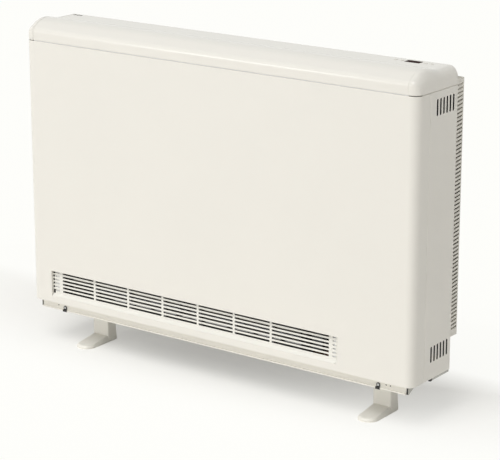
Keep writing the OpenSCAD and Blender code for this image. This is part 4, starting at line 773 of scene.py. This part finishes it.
bpy.ops.object.select_all(action="DESELECT")
bpy.ops.mesh.primitive_plane_add(size=1, rotation=ACROSS, location=(
    sum(GRILLE_X) / 2, FACE_Y, (FACE_Z + GRILLE_Z[1]) / 2))
bpy.context.object.scale = (GRILLE_X[1] - GRILLE_X[0], GRILLE_Z[1] - FACE_Z, 1)
grille = settle("grille_face")
bpy.ops.object.mode_set(mode="EDIT")
cuts = []
for a, b in zip(SLOT_XS, SLOT_XS[1:]):
    cuts += [((a + POST / 2, 0, 0), (1, 0, 0)), ((b - POST / 2, 0, 0), (1, 0, 0))]
for low in SLOT_LOWS:
    cuts += [((0, 0, low), (0, 0, 1)), ((0, 0, low + SLOT_H), (0, 0, 1))]
for place, way in cuts:
    bpy.ops.mesh.select_all(action="SELECT")
    split(place, way)


def in_slot(face):
    """Whether a face of the grille is to be one of its slots."""
    at = centre(face)
    across = any(a + POST / 2 < at.x < b - POST / 2 for a, b in zip(SLOT_XS, SLOT_XS[1:]))
    return across and any(low < at.z < low + SLOT_H for low in SLOT_LOWS)


drop_faces(in_slot)
pick("EDGE", lambda e: e.is_boundary and
     (near(mid(e).x, GRILLE_X[0]) or near(mid(e).x, GRILLE_X[1]) or
      near(mid(e).z, FACE_Z) or near(mid(e).z, GRILLE_Z[1])))
draw_on(y=RIM_Y - FACE_Y)
pick("VERT", lambda v: near(v.co.y, RIM_Y) and near(v.co.z, FACE_Z))
shift(z=GRILLE_Z[0] - FACE_Z)
pick("EDGE", lambda e: e.is_boundary and near(mid(e).y, RIM_Y))
draw_on()
for axis, ends in ((0, GRILLE_X), (2, GRILLE_Z)):
    for end, way in zip(ends, (-RIM, RIM)):
        pick("VERT", lambda v: near(v.co[axis], end) and near(v.co.y, RIM_Y) and v.is_boundary)
        shift(**{"xyz"[axis]: way})
leave()
two_sided(grille, grille_enamel)
# The slots' walls, the rim of the sheet, take the dark finish: painted shade in the slots.
make_wall(grille, GRILLE_T, material_offset_rim=1)
apply_new(grille, "BEVEL", width=GRILLE_R, segments=2, limit_method="ANGLE",
          angle_limit=math.radians(50))
tools = []
blanks = ((GRILLE_X[0], SLOT_XS[0]), (SLOT_XS[-1], GRILLE_X[1]))
for low in SLOT_LOWS:
    for x0, x1 in blanks:
        tools.append(begin("rib_tool", (x0 + RIB_IN, FACE_Y - TOOL_OUT, low + RIB_EASE),
                           (x1 - RIB_IN, FACE_Y + RIB_DEEP, low + SLOT_H - RIB_EASE)))
        round_edges(RIB_R, 2, lambda e: runs(e, 1))
        leave()
    start = FACE_Z if low == SLOT_Z else low - RIB_EASE
    wide = GAP_W * (END_GAP_GAIN if low in (SLOT_Z, SLOT_LOWS[-1]) else 1)
    for x in (GRILLE_X[0], GRILLE_X[1] - GAP_W):
        tools.append(begin("gap_tool", (x, FACE_Y - TOOL_OUT, start),
                           (x + wide, FACE_Y + GAP_DEEP, low + SLOT_H)))
        leave()
tools.append(begin("gap_tool", (SILL_GAP_X[0], RIM_Y - TOOL_OUT, SILL_GAP_Z[0]),
                   (SILL_GAP_X[1], RIM_Y + SILL_GAP_DEEP, SILL_GAP_Z[1])))
leave()
punch(grille, tools)
parts = [grille]
for x in SLOT_XS:
    post = begin("grille_post", (x - POST / 2, FACE_Y + GRILLE_T - GRILLE_BITE, FACE_Z),
                 (x + POST / 2, FACE_Y + GRILLE_D, GRILLE_Z[1]))
    round_edges(POST_R, 2, lambda e: runs(e, 2) and near(mid(e).y, FACE_Y + GRILLE_D))
    leave()
    parts.append(post)
for x0, x1 in ((GRILLE_X[0] + BACKING_IN, SLOT_XS[0] - POST / 2),
               (SLOT_XS[-1] + POST / 2, GRILLE_X[1] - BACKING_IN)):
    backing = begin("grille_backing", (x0, FACE_Y + BACKING_Y[0], FACE_Z + BACKING_EASE),
                    (x1, FACE_Y + BACKING_Y[1], GRILLE_Z[1] - BACKING_EASE))
    leave()
    parts.append(backing)
for low in SLOT_LOWS[1:]:
    z = low - (SLOT_PITCH - SLOT_H)
    bar = begin("grille_bar", (SLOT_XS[0], FACE_Y + GRILLE_T - GRILLE_BITE, z + BAR_EASE),
                (SLOT_XS[-1], FACE_Y + BAR_D, z + SLOT_PITCH - SLOT_H - BAR_EASE))
    pick("VERT", lambda v: near(v.co.y, FACE_Y + BAR_D))
    shift(z=-BAR_FALL)
    # The bars are dark all over: painted shade behind the slots.
    paint_slot_shade(bar, grille_enamel)
    parts.append(bar)
dress(join_all(parts), grille_enamel, "outlet_grille")

# ------------------------------------------------------------------ top cover
# A long pressed steel cover: an upright band with a rounded nose, a slope up to a soft crest and
# a level deck behind it, with openings for the display, the keys and the room sensor's slots.
# Two lips under it locate it inside the panels.

COVER_Z = 0.6875
COVER_HALF = 0.4723
COVER_D = 0.146
COVER_T = 0.0022
COVER_R = 0.0008
NOSE_R = 0.014
NOSE_RISE = 0.0166
NOSE_SLOPE = 33
CREST = (0.04633, 0.0439, 0.054)
DECK = (0.0939, 0.0362, 12)
REAR_R = 0.003
DECK_Z = 0.7237
DECK_THROUGH = (0.715, 0.73)
DISPLAY = (0.407, 0.0375, 0.034, 0.0185)
WINDOW_GAP = 0.0003
WINDOW_HOLE_R = 0.0018
KEY_XS = {"minus": 0.366, "plus": 0.38, "mode": 0.434, "boost": 0.448}
KEY_HOLE_R = 0.0043
SENSOR_XS = (-0.4665, -0.458, -0.4495)
SENSOR_Y = 0.045
SENSOR_SLOT = (0.0023, 0.0045)
SENSOR_R = 0.0015
LIP_HALF = 0.4721
LIP_T = 0.0024
LIP_IN = 0.0018
LIP_UP = 0.008


def bend(centre_y, centre_z, radius, a0, a1, steps):
    """Points of a bend, from its first angle to its last."""
    turn = [math.radians(a0 + (a1 - a0) * i / steps) for i in range(steps + 1)]
    return [(centre_y + radius * math.cos(t), centre_z + radius * math.sin(t)) for t in turn]


def crown():
    """The cover's profile from its front foot over the crest to its rear foot."""
    crest_y, crest_h, crest_r = CREST
    deck_y, deck_h, fall = DECK
    shape = [(0, 0)] + bend(NOSE_R, NOSE_RISE, NOSE_R, 180, 90 + NOSE_SLOPE, 8)
    shape += bend(crest_y, crest_h - crest_r, crest_r, 90 + NOSE_SLOPE, 90 - fall, 12)
    shape += bend(deck_y, deck_h + crest_r, crest_r, 270 - fall, 270, 5)
    shape += bend(COVER_D - REAR_R, deck_h - REAR_R, REAR_R, 90, 0, 4)
    shape += [(COVER_D, 0)]
    return [(FRONT + y, COVER_Z + z) for y, z in shape]


def soften(piece):
    """Takes the edge off a wall of the cover or of its ends."""
    apply_new(piece, "BEVEL", width=COVER_R, segments=2, limit_method="ANGLE",
              angle_limit=math.radians(60))


cover_enamel = surface("cover_enamel", tone(236, 233, 225), 0.22, size=4, spread=0.008,
                       grain=260, depth=0.00001)
cover = strip("cover_shell", -COVER_HALF, COVER_HALF, crown())
leave()
two_sided(cover, cover_enamel)
apply_new(cover, "SOLIDIFY", thickness=COVER_T, offset=-1, use_even_offset=True)
soften(cover)
window_x, window_y, window_w, window_d = DISPLAY
window_tool = begin("window_tool",
                    (window_x - window_w / 2 - WINDOW_GAP, window_y - window_d / 2 - WINDOW_GAP,
                     DECK_THROUGH[0]),
                    (window_x + window_w / 2 + WINDOW_GAP, window_y + window_d / 2 + WINDOW_GAP,
                     DECK_THROUGH[1]))
round_edges(WINDOW_HOLE_R, 4, lambda e: runs(e, 2))
leave()
tools = [window_tool] + [drill((x, window_y, DECK_Z), KEY_HOLE_R, THROUGH, sides=32)
                         for x in KEY_XS.values()]
for x in SENSOR_XS:
    slot = begin("sensor_tool",
                 (x - SENSOR_SLOT[0], SENSOR_Y - SENSOR_SLOT[1], DECK_THROUGH[0]),
                 (x + SENSOR_SLOT[0], SENSOR_Y + SENSOR_SLOT[1], DECK_THROUGH[1]))
    round_edges(SENSOR_R, 4, lambda e: runs(e, 2))
    # The sensor slots' walls take the dark finish: painted shade in the slots.
    paint_slot_shade(slot, cover_enamel)
    tools.append(slot)
punch(cover, tools)
parts = [cover]
for y in (FRONT + LIP_IN, BACK - LIP_IN - LIP_T):
    lip = begin("cover_lip", (-LIP_HALF, y, PANEL_Z1), (LIP_HALF, y + LIP_T, COVER_Z + LIP_UP))
    leave()
    parts.append(lip)
dress(join_all(parts), cover_enamel, "top_cover")

# ------------------------------------------------------------------ end caps
# Moulded plastic ends in the cover's colour. Each carries on the cover's profile and draws in
# smoothly towards its rear lower corner, so that it rounds down to the side panel.

CAP_X = 0.4726
CAP_STEPS = 12
CAP_FALL = 0.022
CAP_LIP_X = (HALF - 0.0042, HALF - 0.0018)
CAP_LIP_UP = 0.005

cap_moulding = surface("cap_plastic", tone(236, 233, 225), 0.2, size=5, spread=0.006,
                       grain=500, depth=0.00001)

right_cap = strip("right_cap_moulding", CAP_X, HALF - EDGE_R, crown())
pick("EDGE", lambda e: near(mid(e).x, HALF - EDGE_R) and not runs(e, 0))
before = (HALF - EDGE_R, 1.0, 1.0)
for step in range(1, CAP_STEPS + 1):
    turn = math.radians(90 * step / CAP_STEPS)
    now = (HALF - EDGE_R + EDGE_R * math.sin(turn),
           1 - EDGE_R / COVER_D * (1 - math.cos(turn)),
           1 - CAP_FALL / DECK[1] * (1 - math.cos(turn)))
    draw_on(x=now[0] - before[0])
    bpy.ops.transform.resize(value=(1, now[1] / before[1], now[2] / before[2]),
                             center_override=(0, BACK, COVER_Z))
    before = now
bpy.ops.mesh.edge_face_add()
face_out()
leave()
apply_new(right_cap, "SOLIDIFY", thickness=COVER_T, offset=-1)
soften(right_cap)
lip = begin("cap_lip", (CAP_LIP_X[0], FRONT + EDGE_R, PANEL_Z1),
            (CAP_LIP_X[1], BACK - LIP_IN, COVER_Z + CAP_LIP_UP))
leave()
right_cap = join_all([right_cap, lip])
left_cap = copy_of(right_cap, "left_cap_moulding", flip=True)
dress(right_cap, cap_moulding, "right_end_cap")
dress(left_cap, cap_moulding, "left_end_cap")

# ------------------------------------------------------------------ display window and keys
# A smoked window over the display, flush in the deck, and four small round keys with dished
# tops. Each key slides in its hole and presses a switch on the display board.

WINDOW_OUT = 0.0001
WINDOW_R = 0.0015
WINDOW_IOR = 1.03
KEY_R = 0.004
KEY_H = 0.0045
KEY_STEP = 0.001
KEY_DISH = 0.0003

dark_window = surface("dark_window", tone(44, 16, 13), 0.3, size=30, spread=0.05,
                      depth=0.000005)
dark_window.node_tree.nodes["Principled BSDF"].inputs["IOR"].default_value = WINDOW_IOR
key_moulding = surface("key_plastic", tone(232, 229, 220), 0.4, size=40, spread=0.01,
                       grain=900, depth=0.00001)

window = begin("smoked_window",
               (window_x - window_w / 2, window_y - window_d / 2, DECK_Z - COVER_T),
               (window_x + window_w / 2, window_y + window_d / 2, DECK_Z + WINDOW_OUT))
round_edges(WINDOW_R, 4, lambda e: runs(e, 2))
round_edges(FINE_R, 2, lambda e: near(mid(e).z, DECK_Z + WINDOW_OUT))
leave()
dress(window, dark_window, "display_window")

key_z1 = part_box("button_minus")[1][2]
key_z0 = key_z1 - KEY_H
first_x = KEY_XS["minus"]
first_key = drill((first_x, window_y, (key_z0 + key_z1) / 2), KEY_R, key_z1 - key_z0, sides=32,
                  name="minus_key_top")
bpy.ops.object.mode_set(mode="EDIT")
pick("FACE", lambda f: f.normal.z > 0.9)
for ring in range(2):
    bpy.ops.mesh.inset(thickness=KEY_STEP)
shift(z=-KEY_DISH)
round_edges(FINE_R, 2, lambda e: near(mid(e).z, key_z1) and
            math.hypot(mid(e).x - first_x, mid(e).y - window_y) > KEY_R - FINE_R)
leave()
keys = {name: first_key if x == first_x else
        copy_of(first_key, name + "_key_top", along=x - first_x) for name, x in KEY_XS.items()}
for name, key_top in keys.items():
    dress(key_top, key_moulding, "button_" + name, body=name + "_key")

# ------------------------------------------------------------------ rear guard
# A U-shaped guard of enamelled sheet that keeps the hot back away from the wall. Its sides are
# punched with close rows of slanting slots, and three long swages are pressed into its back.
# Four tabs are screwed to the back panel, and two holes take the wall's screws.

GUARD_X = 0.493
GUARD_Z = (0.1677, 0.6957)
GUARD_T = 0.001
GUARD_R = 0.0025
WALL = 0.088
GUARD_SLOT = (0.004, 0.021, 0.0038)
GUARD_SLANT = (math.radians(6), 0, 0)
GUARD_SLOT_PITCH = 0.00805
GUARD_SLOTS = 64
SWAGE_X = 0.44
SWAGE_ZS = (0.29, 0.43, 0.57)
SWAGE_HALF = 0.008
SWAGE_SLOPE = 0.0035
SWAGE_DEEP = 0.0022
WALL_HOLE_X = 0.3
WALL_HOLE_DOWN = 0.04
WALL_HOLE_R = 0.004
TAB_W = 0.024
TAB_HALF_H = 0.01
TAB_IN = 0.06
TAB_BITE = 0.0001
TAB_R = 0.003

guard_enamel = surface("guard_enamel", tone(230, 227, 218), 0.45, size=6, spread=0.015,
                       grain=300, depth=0.00003)


def slot_block(x, z):
    """A tool for one slanting slot of the guard's side."""
    bpy.ops.object.select_all(action="DESELECT")
    bpy.ops.mesh.primitive_cube_add(size=1, location=(x, (BACK + WALL) / 2, z),
                                    scale=GUARD_SLOT, rotation=GUARD_SLANT)
    return settle("guard_slot_tool")


def on_guard_back(face):
    """Whether a face is part of the guard's flat back."""
    return face.normal.y > 0.999 and centre(face).y > WALL - 0.0001


def on_swages(face):
    """Whether a face of the guard's back lies between the ends of its swages."""
    return on_guard_back(face) and abs(centre(face).x) < SWAGE_X


guard = begin("guard_sheet", (-GUARD_X, BACK, GUARD_Z[0]), (GUARD_X, WALL, GUARD_Z[1]))
drop_faces(lambda f: f.normal.y < -0.9 or abs(f.normal.z) > 0.9)
round_edges(GUARD_R, 4, lambda e: runs(e, 2) and near(mid(e).y, WALL))
for x in (-SWAGE_X, SWAGE_X):
    pick("FACE", on_guard_back)
    split((x, 0, 0), (1, 0, 0))
for middle in SWAGE_ZS:
    for z in (middle - SWAGE_HALF, middle + SWAGE_HALF):
        pick("FACE", on_swages)
        split((0, 0, z), (0, 0, 1))
    pick("FACE", lambda f: on_swages(f) and abs(centre(f).z - middle) < SWAGE_HALF)
    bpy.ops.mesh.inset(thickness=SWAGE_SLOPE, depth=-SWAGE_DEEP)
leave()
apply_new(guard, "SOLIDIFY", thickness=GUARD_T, offset=-1, use_even_offset=True)
tools = [slot_block(side * GUARD_X, GUARD_Z[1] - (i + 0.5) * GUARD_SLOT_PITCH)
         for side in (-1, 1) for i in range(1, GUARD_SLOTS)]
tools += [drill((side * WALL_HOLE_X, WALL, GUARD_Z[1] - WALL_HOLE_DOWN), WALL_HOLE_R, THROUGH,
                ACROSS) for side in (-1, 1)]
punch(guard, tools)
parts = [guard]
inside_x = GUARD_X - GUARD_T
for side in (-1, 1):
    for z in (GUARD_Z[0] + TAB_IN, GUARD_Z[1] - TAB_IN):
        x0, x1 = sorted((side * (inside_x - TAB_W), side * (inside_x + TAB_BITE)))
        tab = begin("guard_tab", (x0, BACK, z - TAB_HALF_H),
                    (x1, BACK + GUARD_T, z + TAB_HALF_H))
        round_edges(TAB_R, 3, lambda e: runs(e, 1) and near(mid(e).x, min((x0, x1), key=abs)))
        leave()
        parts.append(tab)
dress(join_all(parts), guard_enamel, "rear_guard")

# ------------------------------------------------------------------ foot screws and rear screws
# Zinc-plated screws: two up through each foot's flange, and small pan-heads that hold the back
# panel and the guard's tabs.

coat_nodes(zinc_screw, "foot_screws", "rear_screws")

# ------------------------------------------------------------------ studio
# A white floor that runs to a white surround. Seen by the camera and in reflections, the floor
# glows plain white more and more away from the heater and behind it: painted light that fades
# its real shadow out, so the shadow stays full only close under the heater. One broad soft key
# lamp shines from high in front, a low soft box at the front left gives the nose its streak of
# gloss, and the sky is brighter in front, to the left and above. The camera looks down a little,
# with no shift.

WHITE_FLOOR = (0.995, 0.975, 0.93, 1)
WHITE_BELOW = (1.0, 1.0, 0.97, 1)
WHITE_AROUND = (0.99, 1.0, 0.965, 1)
FLOOR_SIZE = 60
SHADE_MIDDLE = (-0.14, 0.2, 0.0)
SHADE_REACH = (0.95, 0.36, 1.0)
SHADE_FADE = {"From Min": 0.2, "From Max": 1.25, "To Min": 0.12, "To Max": 0.94}
REAR_FADE = {"From Min": 0.11, "From Max": 0.3, "To Max": 0.92}
KEY_PLACE = (-2, -3, 4)
KEY_TURN = (math.radians(31), 0, math.radians(3))
KEY_ENERGY = 1.22
KEY_SPREAD = math.radians(34)
SOFT_BOX_PLACE = Vector((-4.28, -6.2, 1.45))
SOFT_BOX_AIM = Vector((0, 0, 0.7))
SOFT_BOX_SIZE = (1.3, 2.6)
SOFT_BOX_ENERGY = 68
BRIGHT_WAY = (-0.35, -0.66, 0.66)
SKY_LEVEL = {"From Min": -1.0, "From Max": 1.0, "To Min": 0.0, "To Max": 0.65}
CAMERA_PLACE = (2.4005, -3.2503, 1.4969)
CAMERA_YAW = math.radians(35.985)
CAMERA_FALL = math.radians(16.216)
FOCAL_PIXELS = 2001.1
PICTURE_WIDTH = 500
SENSOR = 36.0


def higher(tree, first, second):
    """The higher of two readings."""
    return finish_step(tree, "Math", fed={0: first, 1: second}, operation="MAXIMUM").outputs[0]


def blend_in(tree, share, own, white, end):
    """Shows plain white for a share of what is seen, and the floor's or sky's own light."""
    blend = finish_step(tree, "MixShader", fed={"Fac": share, 1: own, 2: white})
    tree.links.new(blend.outputs[0], tree.nodes[end].inputs["Surface"])


bpy.ops.object.select_all(action="DESELECT")
bpy.ops.mesh.primitive_plane_add(size=FLOOR_SIZE, location=(0, 0, 0))
floor = bpy.context.object
floor.name = "studio_floor"
floor_white = surface("floor_white", WHITE_FLOOR, 0.95, size=2, spread=0.0, depth=0.0)
floor.data.materials.append(floor_white)

# Painted light on the floor: its white glow's share grows with the distance from the heater and
# towards the rear, fading the shadow out.
below = floor_white.node_tree
spot = finish_step(below, "TexCoord").outputs["Object"]
reach = finish_step(below, "Mapping", {"Location": SHADE_MIDDLE, "Scale": SHADE_REACH},
                    {"Vector": spot})
reach.vector_type = "TEXTURE"
far = finish_step(below, "VectorMath", fed={0: reach.outputs["Vector"]}, operation="LENGTH")
fade = finish_step(below, "MapRange", SHADE_FADE, {"Value": far.outputs["Value"]})
fade.interpolation_type = "SMOOTHSTEP"
spot_y = finish_step(below, "SeparateXYZ", fed={"Vector": spot}).outputs["Y"]
rear = finish_step(below, "MapRange", REAR_FADE, {"Value": spot_y})
ray = finish_step(below, "LightPath").outputs
seen = higher(below, ray["Is Camera Ray"], ray["Is Glossy Ray"])
painted_light_spread = higher(below, fade.outputs["Result"], rear.outputs["Result"])
share = finish_step(below, "Math", fed={0: seen, 1: painted_light_spread}, operation="MULTIPLY")
glow = finish_step(below, "Emission", {"Color": WHITE_BELOW})
blend_in(below, share.outputs[0], below.nodes["Principled BSDF"].outputs[0], glow.outputs[0],
         "Material Output")

bpy.ops.object.light_add(type="SUN", location=KEY_PLACE, rotation=KEY_TURN)
key_lamp = bpy.context.object
key_lamp.data.energy = KEY_ENERGY
key_lamp.data.angle = KEY_SPREAD

bpy.ops.object.light_add(type="AREA", location=SOFT_BOX_PLACE)
soft_box = bpy.context.object
soft_box.rotation_euler = (SOFT_BOX_AIM - SOFT_BOX_PLACE).to_track_quat("-Z", "Y").to_euler()
soft_box.data.shape = "RECTANGLE"
soft_box.data.size, soft_box.data.size_y = SOFT_BOX_SIZE
soft_box.data.energy = SOFT_BOX_ENERGY
soft_box.visible_camera = False

sky = bpy.data.worlds.new("studio_sky")
bpy.context.scene.world = sky
sky.use_nodes = True
above = sky.node_tree
lit = above.nodes["Background"]
lit.inputs["Color"].default_value = (1, 1, 1, 1)
way = finish_step(above, "TexCoord").outputs["Generated"]
slope = finish_step(above, "VectorMath", {1: BRIGHT_WAY}, {0: way}, operation="DOT_PRODUCT")
level = finish_step(above, "MapRange", SKY_LEVEL, {"Value": slope.outputs["Value"]})
above.links.new(level.outputs["Result"], lit.inputs["Strength"])
around = finish_step(above, "Background", {"Color": WHITE_AROUND, "Strength": 1.0})
ray = finish_step(above, "LightPath").outputs
seen = higher(above, higher(above, ray["Is Camera Ray"], ray["Is Glossy Ray"]),
              ray["Is Transmission Ray"])
blend_in(above, seen, lit.outputs[0], around.outputs[0], "World Output")

view_data = bpy.data.cameras.new("photograph_camera")
view_data.sensor_width = SENSOR
view_data.lens = FOCAL_PIXELS / PICTURE_WIDTH * SENSOR
camera = bpy.data.objects.new("photograph_camera", view_data)
bpy.context.scene.collection.objects.link(camera)
camera.location = CAMERA_PLACE
forward = Vector((-math.sin(CAMERA_YAW) * math.cos(CAMERA_FALL),
                  math.cos(CAMERA_YAW) * math.cos(CAMERA_FALL), -math.sin(CAMERA_FALL)))
camera.rotation_mode = "QUATERNION"
camera.rotation_quaternion = forward.to_track_quat("-Z", "Y")
bpy.context.scene.camera = camera
bpy.context.scene.view_settings.view_transform = "Standard"
